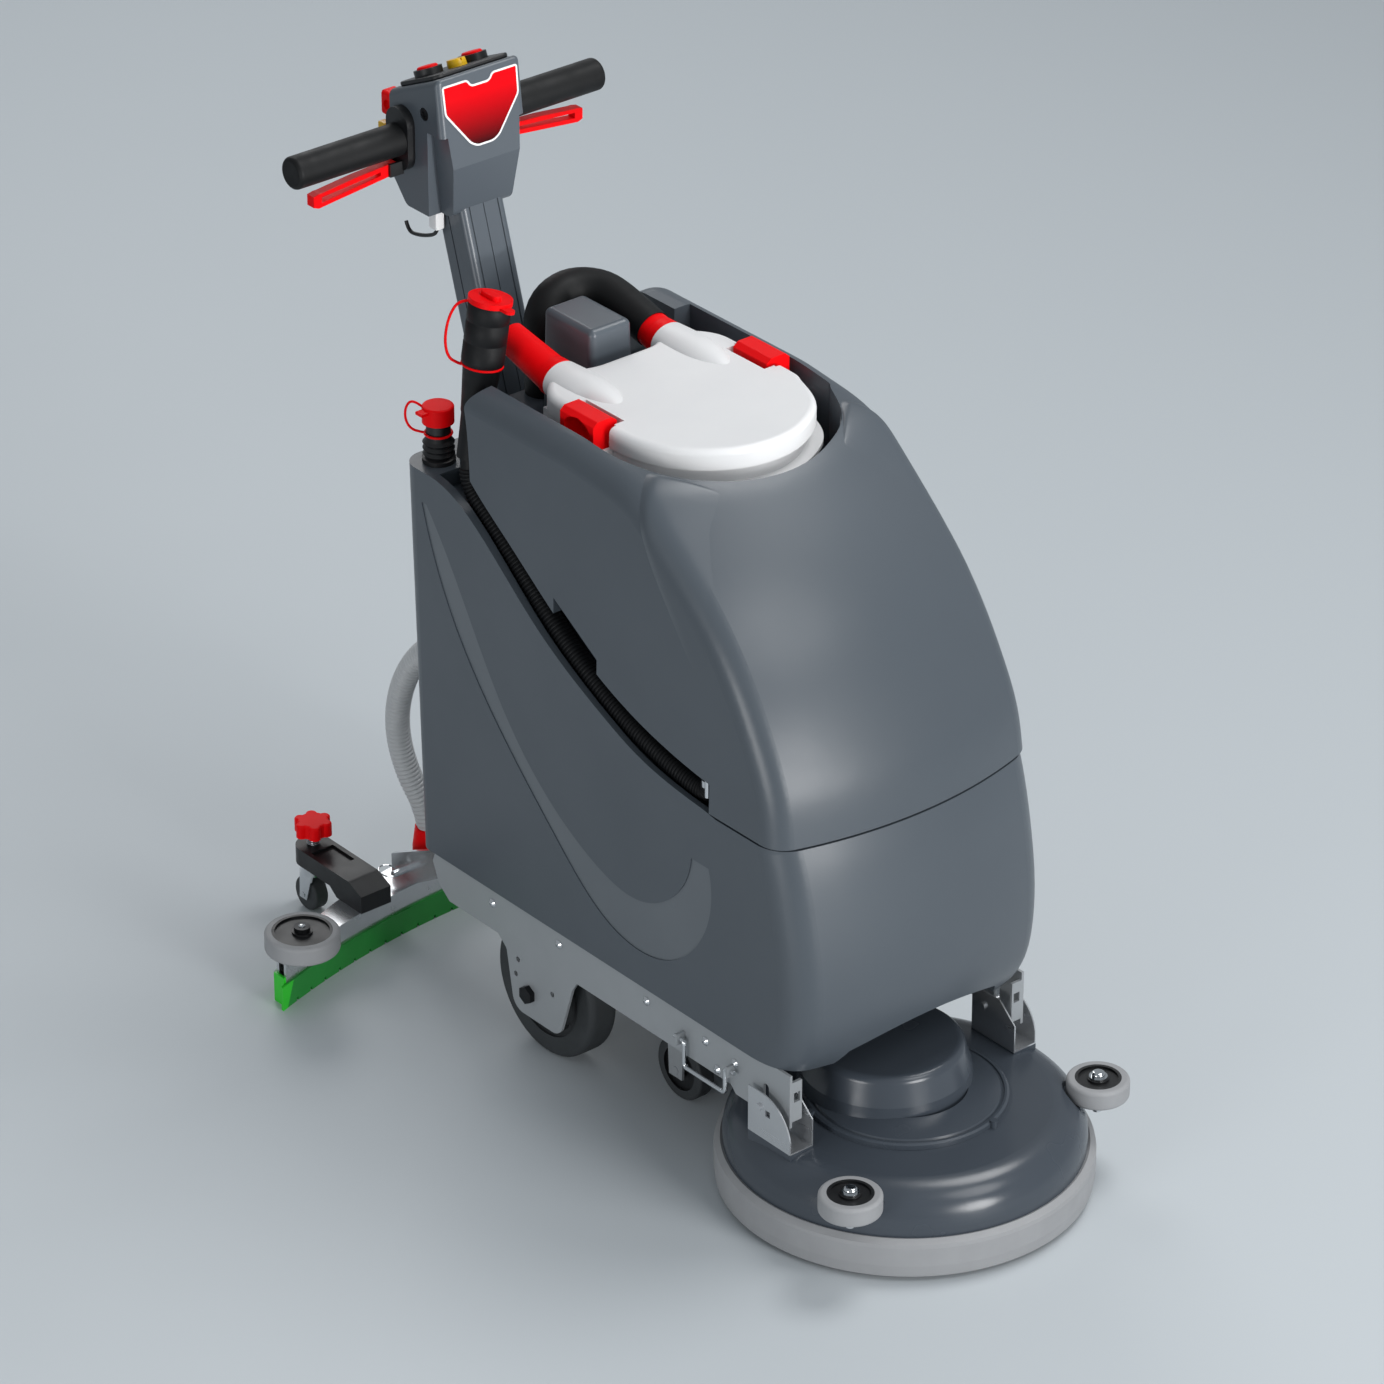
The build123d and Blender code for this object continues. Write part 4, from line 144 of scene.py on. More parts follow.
def piece(name, form, finishes, body=None, sharp=38):
    """Makes a form an object with outward faces and soft shading, on a body if one is given."""
    bmesh.ops.remove_doubles(form, verts=form.verts, dist=0.00001)
    bmesh.ops.recalc_face_normals(form, faces=form.faces)
    mesh = bpy.data.meshes.new(name)
    form.to_mesh(mesh)
    form.free()
    for finish in finishes:
        mesh.materials.append(finish)
    mesh.shade_smooth()
    mesh.set_sharp_from_angle(angle=math.radians(sharp))
    made = bpy.data.objects.new(name, mesh)
    scene.collection.objects.link(made)
    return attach(made, body) if body else made


# Powder coat: cured paint flows into a fine even orange peel, so highlights are soft and wide.
powder_coat = surface("powder coated steel", "#a3a7aa", "#9a9ea1", patch=70, grain=1.4, depth=0.015,
                      gloss=0.36, matt=0.46, metal=0.25)
dress(powder_coat, "chassis_frame", "support_forks")
# Zinc plate: a thin bright deposit over turned bar, with cloudy passivated patches.
zinc_plate = surface("zinc plated steel", "#c9ccd0", "#a9adb2", patch=12, grain=0.8, depth=0.006,
                     gloss=0.18, matt=0.32, metal=1.0)
dress(zinc_plate, "column_pin")
# Chrome: a hard mirror over polished steel, broken only by faint waves.
chrome_plate = surface("chrome plated steel", "#dcdee0", "#d2d5d8", patch=20, grain=6.0, depth=0.004,
                       gloss=0.05, matt=0.10, metal=1.0)

# A turned shape that closes on its axis ends with this radius, small enough to merge to a point.
POLE = 0.02
DOME_SCREW = [(0, POLE), (0, 6.2), (1.0, 6.4), (1.6, 5.4), (3.2, 4.2), (4.2, 2.4), (4.5, 1.6),
              (3.4, 1.4), (3.4, POLE)]
PLATE_FACE = 197.0
TANK_SCREWS = ((200, 204), (-120, 206), (60, 206))
EAR_SCREWS = ((-238, 203), (-262, 172), (-296, 198))
screws = bmesh.new()
for x in (-PLATE_FACE, PLATE_FACE):
    for y, z in TANK_SCREWS:
        turn(screws, DOME_SCREW, 20, stand((x, y, z), (x, 0, 0)))
for y, z in EAR_SCREWS:
    turn(screws, DOME_SCREW, 20, stand((-PLATE_FACE, y, z), (-1, 0, 0)))
piece("plate_screws", screws, [chrome_plate], "chassis")

# Plate bail: a bent chrome-plated rod that swings in two ears on the right side plate. It is hooked
# into the ears' holes and hangs by its own weight.
dress(chrome_plate, "plate_bail")

# Main and support wheels: a grey rubber tread bonded on a black moulded hub, turning on a plain steel
# axle with black hexagon ends. Tread and hub meet at one distance from the axle.


def two_tone(name, second, test):
    """Gives a CAD node a second finish where the test of a face's middle, in mm, and its normal holds."""
    mesh = nodes[name].data
    mesh.materials.append(second)
    for face in mesh.polygons:
        if test(face.center * 1000, face.normal):
            face.material_index = len(mesh.materials) - 1


# Black oxide: a thin dark coat grown on the steel, oiled to a satin gloss.
black_oxide = surface("black oxide steel", "#2b2c2e", "#212224", patch=10, grain=0.8, depth=0.006,
                      gloss=0.32, matt=0.42, metal=0.8)
dress(zinc_plate, "wheel_axle")
AXLE_HEADS = PLATE_FACE + 0.1
two_tone("wheel_axle", black_oxide, lambda middle, facing: abs(middle.x) > AXLE_HEADS)
# Black polypropylene: moulded in a fine spark-eroded texture, so it shines only in a soft sheen.
black_moulding = surface("black polypropylene", "#141517", "#0f1012", patch=30, grain=0.9, depth=0.012,
                         gloss=0.36, matt=0.48)
# Tyre rubber: filled with soot and dulled by wear, with hardly any mirror light.
tyre_rubber = surface("dark grey tyre rubber", "#3c3f41", "#343739", patch=30, grain=0.8, depth=0.03,
                      gloss=0.55, matt=0.70, sheen=0.3)
WHEEL_AXIS = (125.0, 100.0)
WHEEL_RIM = 70.02
SUPPORT_AXIS = (-75.0, 45.0)
SUPPORT_RIM = 32.0
for side in ("right", "left"):
    dress(tyre_rubber, f"main_wheel_{side}", f"support_wheel_{side}")
    two_tone(f"main_wheel_{side}", black_moulding, lambda middle, facing: math.hypot(
        middle.y - WHEEL_AXIS[0], middle.z - WHEEL_AXIS[1]) < WHEEL_RIM)
    two_tone(f"support_wheel_{side}", black_moulding, lambda middle, facing: math.hypot(
        middle.y - SUPPORT_AXIS[0], middle.z - SUPPORT_AXIS[1]) < SUPPORT_RIM)

# Solution tank: one rotomoulded polyethylene shell with a leaf-shaped stripe sunk in each side. It
# sits between the chassis plates.
# Rotomoulded skin: powder that melted against a cast mould, so it is waxy, with a slow unevenness.
slate_shell = surface("rotomoulded slate polyethylene", "#50575e", "#4a5158", patch=160, grain=2.6,
                      depth=0.02, gloss=0.30, matt=0.38)
# The mould is polished at the stripe, which so reads as a lighter, smoother grey.
leaf_stripe = surface("mould-polished grey polyethylene", "#666c71", "#5f656b", patch=120, grain=4.0,
                      depth=0.008, gloss=0.30, matt=0.38)
dress(slate_shell, "solution_tank")
STRIPE_FOOT = (202.85, 230.0)
STRIPE_FRONT = -262.0
STRIPE_SKIN = 0.3
SIDE_SLOPE = math.tan(math.radians(1.0))
SIDE_FACING = 0.95
two_tone("solution_tank", leaf_stripe, lambda middle, facing: (
    abs(facing.x) > SIDE_FACING and middle.y > STRIPE_FRONT
    and abs(abs(middle.x) - STRIPE_FOOT[0] - (middle.z - STRIPE_FOOT[1]) * SIDE_SLOPE) < STRIPE_SKIN))

# Batteries: two sealed blocks in black cases that stand in the bay of the tank, out of sight. Their
# cases are moulded polypropylene.
dress(black_moulding, "battery_pack")

# Filler neck: a black moulded neck screwed into the rear shelf, with a red polypropylene push cap
# kept by a strap that is moulded in one with a ring round the neck. A red plug stands in the rear wall.
# Red polypropylene: strongly pigmented and lightly textured, so the colour stays full in the light.
red_moulding = surface("red polypropylene", "#f2060d", "#e6050c", patch=60, grain=1.2, depth=0.008,
                       gloss=0.40, matt=0.50, sheen=0.1)
dress(black_moulding, "filler_neck")
dress(red_moulding, "filler_cap")


def route_line(route):
    """A smooth line through a route in mm: a NURBS spline whose control points are the route's points."""
    line = bpy.data.curves.new("route", "CURVE")
    line.dimensions = "3D"
    spline = line.splines.new("NURBS")
    spline.points.add(len(route) - 1)
    for point, place in zip(spline.points, route):
        point.co = (*(n / 1000 for n in place), 1)
    spline.order_u = 3
    spline.use_endpoint_u = True
    spline.resolution_u = 12
    holder = bpy.data.objects.new("route", line)
    scene.collection.objects.link(holder)
    bpy.context.view_layer.update()
    return holder


def shown_mesh(holder):
    """The mesh that an object shows, with its modifiers."""
    bpy.context.view_layer.update()
    return bpy.data.meshes.new_from_object(holder.evaluated_get(bpy.context.evaluated_depsgraph_get()))


def wire(form, route, radius):
    """Draws a round wire or strap along a route into a form."""
    holder = route_line(route)
    holder.data.bevel_depth = radius / 1000
    holder.data.bevel_resolution = 3
    holder.data.use_fill_caps = True
    form.from_mesh(shown_mesh(holder))
    bpy.data.objects.remove(holder)


def ring_stations(radius, wire_radius, steps=8):
    """Stations of a round-section ring about its axis."""
    turns = [2 * math.pi * step / steps for step in range(steps + 1)]
    return [(wire_radius * math.sin(t), radius + wire_radius * math.cos(t)) for t in turns]


NECK = Vector((-178.0, 322.0, 803.0))
UP = Vector((0, 0, 1))
NECK_RING_RADIUS = 17.6
STRAP_WIRE = 1.7
RING_RISE = 40.0
neck_ring = bmesh.new()
turn(neck_ring, ring_stations(NECK_RING_RADIUS, STRAP_WIRE), 32, stand(NECK + UP * RING_RISE, UP))
piece("filler_ring", neck_ring, [red_moulding], "chassis")
STRAP_OUT = Vector((-0.77, 0.64, 0.0))
NECK_STRAP = ((17, 40), (23, 41), (35, 45), (42, 58), (42, 74), (36, 85), (27, 83), (20, 77))
neck_strap = bmesh.new()
wire(neck_strap, [NECK + STRAP_OUT * out + UP * up for out, up in NECK_STRAP], STRAP_WIRE)
strap = piece("filler_strap", neck_strap, [red_moulding])
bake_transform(strap)
REAR_WALL = Vector((-178.0, 347.0, 785.0))
TANK_PLUG = [(0, POLE), (0, 10), (4, 10), (5, 12), (6, 13), (14, 13), (15.4, 12.2), (16, 11), (16, 5),
             (14.6, 4.4), (14.6, POLE)]
plug = bmesh.new()
turn(plug, TANK_PLUG, 32, stand(REAR_WALL, (0, 1, 0)))
piece("tank_plug", plug, [red_moulding], "chassis")

# Hood: the recovery tank and upper shell, rotomoulded like the tank, open on top for the separator.
# A soft step, moulded in the wall, runs from the recess down each front corner and dies out above
# the seam.
dress(slate_shell, "hood_shell", "vacuum_box")
dress(black_moulding, "vacuum_motor")
STEP_LINE = [(-151, -79, 895), (-151, -79, 918), (-151, -79, 937), (-160, -88, 934.5), (-168, -94, 932),
             (-182, -105, 922), (-199, -121, 891), (-202, -144, 847), (-203.5, -180, 799),
             (-204.6, -210, 757), (-205.7, -235, 713), (-207, -252, 666)]
# Distances across the step in mm: its foot on the side, its crest, and where it ends to the front.
STEP_FOOT, STEP_CREST, STEP_END = -9.0, 4.0, 104.0
STEP_END_AT_RIM = 20.0
STEP_RISE = 5.5
STEP_SUNK = 0.4
STEP_ROOT = 4.0
STRIDE = 4.0
STEP_CELLS = (90, 42)
EVEN_PASSES = 8
# Shares of the line: where the step is over the rim and widens, where it rises, and its fading end.
WIDENS_FROM, WIDENS_OVER = 0.15, 0.03
RISES_FROM, RISES_OVER = 0.165, 0.1
FADES_OVER = 0.6


def ease(share):
    """Goes from 0 to 1 with level ends."""
    share = min(max(share, 0.0), 1.0)
    return share * share * (3 - 2 * share)


hood_skin = BVHTree.FromObject(nodes["hood_shell"], bpy.context.evaluated_depsgraph_get())
step_route = route_line(STEP_LINE)
step_points = [vert.co.copy() for vert in shown_mesh(step_route).vertices]
bpy.data.objects.remove(step_route)
hood_step = bmesh.new()
crown, root = (bmesh.ops.create_grid(hood_step, x_segments=STEP_CELLS[0], y_segments=STEP_CELLS[1],
                                     size=0.5)["verts"] for sheet in range(2))
for vert, under in zip(crown, root):
    along, across = vert.co.x + 0.5, vert.co.y + 0.5
    way = along * (len(step_points) - 1)
    spot = min(int(way), len(step_points) - 2)
    heading = step_points[spot + 1] - step_points[spot]
    place, out = hood_skin.find_nearest(step_points[spot].lerp(step_points[spot + 1], way - spot))[:2]
    far = STEP_END_AT_RIM + (STEP_END - STEP_END_AT_RIM) * ease((along - WIDENS_FROM) / WIDENS_OVER)
    reach = STEP_FOOT + (far - STEP_FOOT) * across
    strides = math.ceil(abs(reach) / STRIDE)
    for stride in range(strides):
        ahead = out.cross(heading).normalized() * reach / strides / 1000
        place, out = hood_skin.find_nearest(place + ahead)[:2]
    crest = ease((reach - STEP_FOOT) / (STEP_CREST - STEP_FOOT))
    crest -= ease((reach - STEP_CREST) / (far - STEP_CREST))
    crest *= ease((along - RISES_FROM) / RISES_OVER) * ease((1 - along) / FADES_OVER)
    vert.co = place + out * (STEP_RISE * crest - STEP_SUNK) / 1000
    under.co = place - out * STEP_ROOT / 1000
inner = [vert for vert in hood_step.verts if not vert.is_boundary]
for even_pass in range(EVEN_PASSES):
    bmesh.ops.smooth_vert(hood_step, verts=inner, factor=0.5,
                          use_axis_x=True, use_axis_y=True, use_axis_z=True)
bmesh.ops.bridge_loops(hood_step, edges=[edge for edge in hood_step.edges if edge.is_boundary])
bmesh.ops.mirror(hood_step, geom=hood_step.verts[:] + hood_step.edges[:] + hood_step.faces[:],
                 axis="X", merge_dist=0.0)
piece("hood_step", hood_step, [slate_shell], "hood", sharp=60)

# Separator: a white moulded vessel and lid under two red latches, with red hose cuffs on its ports.
# The lid swells over each port in a long hump.
# White polyethylene: cloudy and soft, so light goes a little into it and highlights stay wide.
white_moulding = surface("white polyethylene", "#e2e2e2", "#dadadb", patch=90, grain=1.8, depth=0.01,
                         gloss=0.40, matt=0.50)
dress(white_moulding, "separator_tank", "separator_lid")
LID_FOOT = 928.5
PORT = Vector((88.0, 181.5, 944.0))
HUMP = [(0, 24.6), (24, 25.4), (48, 25.5), (64, 24.9), (80, 23.1), (94, 20.2), (106, 16.8), (116, 13),
        (124, 9), (130, POLE)]
HUMP_STRETCH = (1.2, 1, 1)
humps = bmesh.new()
for x in (-PORT.x, PORT.x):
    hump = turn(humps, HUMP, 48)
    bmesh.ops.scale(humps, verts=hump, vec=HUMP_STRETCH)
    bmesh.ops.transform(humps, verts=hump, matrix=stand((x, PORT.y, PORT.z), (0, -1, 0)))
bmesh.ops.bisect_plane(humps, geom=humps.verts[:] + humps.edges[:] + humps.faces[:],
                       plane_co=(0, 0, LID_FOOT / 1000), plane_no=(0, 0, 1), clear_inner=True)
bmesh.ops.holes_fill(humps, edges=humps.edges[:])
piece("lid_humps", humps, [white_moulding], "lid")
dress(red_moulding, "lid_latch_right", "lid_latch_left", "hose_cuffs")

# Hoses on the hood: corrugated black polyethylene from the suction port, a smooth foam-jacketed hose
# to the vacuum motor, and the corrugated drain hose that lies along the ledge to its standing cuff.
# They are pushed on their ports.

# One rib, as shares of the pitch and of the rib's height, and the spacing of a plain hose's rings in mm.
RIB = ((0.06, 0.0), (0.20, 0.7), (0.35, 1.0), (0.65, 1.0), (0.80, 0.7), (0.94, 0.0))
PLAIN_SPACING = 8


def hose(form, route, pitch, root, crest, bore, segments=28):
    """Draws a hose along a route: rounded ribs outside at this pitch, a bore inside.
    A pitch of 0 is smooth."""
    holder = route_line(route)
    line = [vert.co for vert in shown_mesh(holder).vertices]
    length = 1000 * sum((b - a).length for a, b in zip(line, line[1:]))
    stations = [(0, root)]
    if pitch:
        count = int((length - 2 * crest) / pitch)
        lead = (length - count * pitch) / 2
        for rib in range(count):
            start = lead + rib * pitch
            stations += [(start + share * pitch, root + (crest - root) * rise) for share, rise in RIB]
    steps = int(length / PLAIN_SPACING)
    if not pitch:
        stations += [(length * step / steps, crest) for step in range(1, steps)]
    stations.append((length, root))
    stations += [(length * step / steps, bore) for step in range(steps, -1, -1)]
    stations.append((0, root))
    straight_form = bmesh.new()
    turn(straight_form, stations, segments)
    straight_mesh = bpy.data.meshes.new("straight")
    straight_form.to_mesh(straight_mesh)
    straight_form.free()
    straight = bpy.data.objects.new("straight", straight_mesh)
    scene.collection.objects.link(straight)
    run = straight.modifiers.new("run", "CURVE")
    run.object = holder
    run.deform_axis = "POS_Z"
    form.from_mesh(shown_mesh(straight))
    bpy.data.objects.remove(straight)
    bpy.data.objects.remove(holder)


# Hose polyethylene: blow moulded and waxy, deep black with a dull shine on each rib.
black_hose = surface("black hose polyethylene", "#111214", "#0c0d0f", patch=16, grain=0.8, depth=0.01,
                     gloss=0.48, matt=0.60, sheen=0.25)
SUCTION_ROUTE = [(-88, 284, 965.1), (-88, 305.4, 970.3), (-96, 322, 968), (-108, 328, 928),
                 (-108, 322, 860), (-108, 322, 813)]
suction = bmesh.new()
hose(suction, SUCTION_ROUTE, pitch=8.0, root=14.4, crest=17.0, bore=12.0)
ribbed = piece("suction_hose_ribbed", suction, [black_hose], "hood", sharp=60)
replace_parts(ribbed, "suction_hose")

# Black rubber: cured in a steel mould, with a fine matt skin.
black_rubber = surface("black moulded rubber", "#131415", "#0e0f10", patch=20, grain=0.6, depth=0.02,
                       gloss=0.48, matt=0.62, sheen=0.25)
FOAM_ROUTE = [(88, 214, 948.3), (88, 248, 956.5), (88, 284, 965.1), (83, 312, 971), (60, 333, 974),
              (30, 336, 972), (2, 330, 958), (-8, 320, 925), (-8, 318, 850)]
foam_hose = bmesh.new()
hose(foam_hose, FOAM_ROUTE, pitch=0, root=25.4, crest=25.8, bore=24.6)
jacketed = piece("vacuum_hose_smooth", foam_hose, [black_rubber], "hood", sharp=60)
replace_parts(jacketed, "vacuum_hose")

DRAIN_FOOT = Vector((-180.0, 253.0, 836.0))
DRAIN_AXIS = (Vector((-148.0, 248.0, 1046.0)) - DRAIN_FOOT).normalized()
DRAIN_LENGTH = 212.5
DRAIN_LEAD = 34
DRAIN_LEDGE_X = -185.0
DRAIN_LEDGE = ((202, 768), (135, 717), (70, 666), (0, 624), (-65, 594), (-145, 571), (-216, 556),
               (-237, 564), (-237, 592))
DRAIN_CUFF = [(0.1, 10), (0.1, 18), (30, 18.4), (60, 19), (64, 20.2), (70, 20.4), (128, 25), (131, 27.4),
              (136, 28), (158, 28), (159, 27.2), (161, 27.2), (162, 28), (186, 28), (187, 27.2),
              (189, 27.2), (190, 28), (211.5, 28), (DRAIN_LENGTH, 27), (DRAIN_LENGTH, 22.4), (140, 22.2),
              (60, 10), (0.1, 10)]
drain_route = [DRAIN_FOOT, DRAIN_FOOT - DRAIN_AXIS * DRAIN_LEAD]
drain_route += [(DRAIN_LEDGE_X, y, z) for y, z in DRAIN_LEDGE]
drain = bmesh.new()
hose(drain, drain_route, pitch=5.2, root=12.2, crest=14.0, bore=9.0)
turn(drain, DRAIN_CUFF, 40, stand(DRAIN_FOOT, DRAIN_AXIS))
cuffed = piece("drain_hose_ribbed", drain, [black_hose], "hood", sharp=50)
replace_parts(cuffed, "drain_hose")

# Drain ring, strap and cap: a red cap that plugs the cuff, kept by its strap, and a bolted clip of
# chrome-plated strip with a barrel nut round the hose where it is pushed on its spigot.
dress(red_moulding, "drain_cap")
DRAIN_RING_RISE = 128
DRAIN_RING_RADIUS = 26.2
DRAIN_STRAP = ((26, 128), (32, 130), (44, 137), (51, 158), (51, 184), (46, 204), (38, 214), (28, 215))
DRAIN_STRAP_WIRE = 1.9
drain_ring = bmesh.new()
turn(drain_ring, ring_stations(DRAIN_RING_RADIUS, STRAP_WIRE), 40,
     stand(DRAIN_FOOT + DRAIN_AXIS * DRAIN_RING_RISE, DRAIN_AXIS))
piece("drain_ring", drain_ring, [red_moulding], "hood")
drain_strap = bmesh.new()
wire(drain_strap, [DRAIN_FOOT + DRAIN_AXIS * up + STRAP_OUT * out for out, up in DRAIN_STRAP],
     DRAIN_STRAP_WIRE)
strap = piece("drain_strap", drain_strap, [red_moulding])
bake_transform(strap)

SPIGOT = Vector((-185.0, -237.0, 579.0))
BARREL_OUT = Vector((-16.4, -10.2, 0.0))
CLIP_STRIP = [(-4.5, 14.2), (-4.5, 15.2), (4.5, 15.2), (4.5, 14.2), (-4.5, 14.2)]
BARREL_NUT = [(-13, POLE), (-13, 3.4), (-12.2, 4.2), (12.2, 4.2), (13, 3.4), (13, 2.2), (11, 2.0), (11, POLE)]
clip = bmesh.new()
turn(clip, CLIP_STRIP, 36, stand(SPIGOT, UP))
turn(clip, BARREL_NUT, 24, stand(SPIGOT + BARREL_OUT, UP))
piece("hose_clip", clip, [chrome_plate], "hood")

# Handle column and control head: two moulded half shells bolted together, with the head on top, its
# black panel, buttons, dial and key, and a bare red plate in a white edge on its front.
dress(slate_shell, "column_shells", "head_housing")
dress(black_moulding, "control_panel", "handlebar")
# Yellow polypropylene: moulded smooth, so it is the glossiest plastic on the panel.
yellow_moulding = surface("yellow polypropylene", "#f0c010", "#e6b40c", patch=30, grain=1.0, depth=0.008,
                          gloss=0.28, matt=0.38)
dress(yellow_moulding, "speed_dial")
dress(red_moulding, "button_right", "button_left", "isolator_key", "trigger_right", "trigger_left")
dress(black_rubber, "hand_grips")

# Head plate: printed film with a white edge, glued on the sloping front under the panel. Its corners
# are rounded, and its red runs darker towards the foot.
HEAD_FRONT = Vector((0.0, 457.0, 1256.0))
DOWN_FRONT = Vector((0.0, -0.12, -0.9928))
OUT_FRONT = Vector((0.0, -0.9928, 0.12))
PLATE_OUTLINE = [(-61, 11), (-20, 11), (-14, 20), (14, 20), (20, 11), (61, 11), (60, 50), (24, 97),
                 (13, 103), (-13, 103), (-24, 97), (-60, 50)]
PLATE_CORNER = 4.0
PLATE_THICK = 1.2
PLATE_EDGE = 2.6
# Printed film: flat and smooth, with a clear top layer that keeps its red deep.
printed_film = surface("printed red film", "#d9000d", "#d0000c", patch=60, grain=1.0, depth=0.004,
                       gloss=0.22, matt=0.28, sheen=0.15, fade=(1158, 1226, "#3a0206"))
plate = bmesh.new()
for across, down in PLATE_OUTLINE:
    plate.verts.new((HEAD_FRONT + Vector((across, 0, 0)) + DOWN_FRONT * down) / 1000)
plate.faces.new(plate.verts)
bmesh.ops.bevel(plate, geom=plate.verts[:], offset=PLATE_CORNER / 1000, affect="VERTICES", segments=4,
                profile=0.5, material=-1)
raised = bmesh.ops.extrude_face_region(plate, geom=plate.faces[:], use_keep_orig=True)["geom"]
bmesh.ops.translate(plate, verts=[part for part in raised if isinstance(part, bmesh.types.BMVert)],
                    vec=OUT_FRONT * PLATE_THICK / 1000)
front = [part for part in raised if isinstance(part, bmesh.types.BMFace)]
bmesh.ops.inset_region(plate, faces=front, thickness=PLATE_EDGE / 1000, depth=0.0)
for face in front:
    face.material_index = 1
piece("head_plate", plate, [white_moulding, printed_film], "handle")

# Small fittings of the head: a sunk steel screw in each side, a yellow moulded key tab behind, and
# under it the white moulded cable outlet, with a bent black hook that keeps a charging lead off the
# floor. They are screwed to the shells.


def block(form, low, high, round_edge):
    """Draws a block between two corners in mm into a form, with its edges rounded."""
    made = bmesh.ops.create_cube(form, size=1.0)["verts"]
    bmesh.ops.scale(form, verts=made, vec=(Vector(high) - Vector(low)) / 1000)
    bmesh.ops.translate(form, verts=made, vec=(Vector(high) + Vector(low)) / 2000)
    edges = list({edge for vert in made for edge in vert.link_edges})
    bmesh.ops.bevel(form, geom=edges, offset=round_edge / 1000, affect="EDGES", segments=3, profile=0.5,
                    material=-1)


HEAD_SIDE = 68.0
HEAD_SCREW_YZ = (484, 1200)
HEAD_SCREW = [(-2.8, POLE), (-2.8, 8.4), (-1.2, 8.4), (-0.6, 7.6), (-0.6, 4.4), (-2.0, 4.0), (-2.0, POLE)]
KEY_TAB = ((-68, 557, 1141), (-56, 584, 1157))
CABLE_OUTLET = ((-52, 484, 1030), (-38, 500, 1058))
BLOCK_ROUND = 2.0
HOOK_ROUTE = [(-45, 490, 1034), (-45, 492, 1022), (-45, 512, 1012), (-45, 536, 1005), (-45, 553, 1004),
              (-45, 558, 1017)]
HOOK_WIRE = 2.6
head_screws = bmesh.new()
for x in (-HEAD_SIDE, HEAD_SIDE):
    turn(head_screws, HEAD_SCREW, 24, stand((x, *HEAD_SCREW_YZ), (x, 0, 0)))
piece("head_screws", head_screws, [black_oxide], "handle")
key_tab = bmesh.new()
block(key_tab, *KEY_TAB, BLOCK_ROUND)
piece("key_tab", key_tab, [yellow_moulding], "handle")
outlet = bmesh.new()
block(outlet, *CABLE_OUTLET, BLOCK_ROUND)
piece("cable_outlet", outlet, [white_moulding], "handle")
lead_hook = bmesh.new()
wire(lead_hook, HOOK_ROUTE, HOOK_WIRE)
piece("lead_hook", lead_hook, [black_moulding], "handle")

# Brush deck: a moulded dome with a rubber skirt, the motor under its cover, folded stainless brackets
# that ride on pins in the chassis, and two bumper rollers on chrome bolts.
# Slate ABS: injection moulded in a polished tool, so its highlights are tighter than the tank's.
deck_moulding = surface("slate ABS", "#424850", "#3c434b", patch=110, grain=1.6, depth=0.012,
                        gloss=0.20, matt=0.29)
dress(deck_moulding, "deck_shell", "motor_cover")
# Non-marking rubber: free of soot, pale and dull.
grey_rubber = surface("grey non-marking rubber", "#999a9c", "#8f9092", patch=35, grain=0.7, depth=0.02,
                      gloss=0.52, matt=0.66)
dress(grey_rubber, "deck_skirt")
# Brushed stainless: fine scratches run along the sheet and draw each highlight out.
stainless = surface("brushed stainless steel", "#dcdee0", "#ced0d3", patch=40, grain=1.0, depth=0.006,
                    gloss=0.18, matt=0.30, metal=0.85, stretch=(1, 0.05, 1))
dress(stainless, "deck_brackets")
dress(chrome_plate, "bumper_bolts")
dress(black_moulding, "brush_motor", "brush_disc")
BUMPER_AXIS = (209.0, -534.5)
BUMPER_HUB = 31.0
for side in ("right", "left"):
    dress(grey_rubber, f"bumper_roller_{side}")
    two_tone(f"bumper_roller_{side}", black_moulding, lambda middle, facing: math.hypot(
        abs(middle.x) - BUMPER_AXIS[0], middle.y - BUMPER_AXIS[1]) < BUMPER_HUB)

# Brush: rings of stiff nylon tufts drawn through a moulded disc, four strands to a tuft, splayed a
# little at the floor.
# Crimped nylon: drawn smooth and dyed blue, with a soft gloss along each strand.
nylon = surface("crimped nylon", "#2b3f74", "#24365f", patch=8, grain=0.8, depth=0.02, gloss=0.40, matt=0.55)
BRUSH_AXIS = Vector((0.0, -400.0, 0.0))
TUFT_RINGS = ((138, 58), (160, 68), (182, 80), (204, 96))
TUFT_TOP = 44.0
STRAND = [(0, 0.4), (0.4, 0.9), (TUFT_TOP, 0.9), (TUFT_TOP, POLE)]
STRAND_SPREAD = 2.0
STRAND_LEAN = 0.02
tufts = bmesh.new()
for radius, count in TUFT_RINGS:
    tuft = []
    for across, along in ((1, 1), (1, -1), (-1, 1), (-1, -1)):
        foot = BRUSH_AXIS + Vector((radius + STRAND_SPREAD * across, STRAND_SPREAD * along, 0))
        lean = (-STRAND_LEAN * across, -STRAND_LEAN * along, 1)
        tuft += turn(tufts, STRAND, 4, stand(foot, lean))
    edges = list({edge for vert in tuft for edge in vert.link_edges})
    faces = list({face for vert in tuft for face in vert.link_faces})
    bmesh.ops.spin(tufts, geom=tuft + edges + faces, cent=BRUSH_AXIS / 1000, axis=(0, 0, 1), steps=count - 1,
                   angle=2 * math.pi * (count - 1) / count, use_duplicate=True)
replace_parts(piece("brush_tufts", tufts, [nylon], "brush"), "brush_bristles")

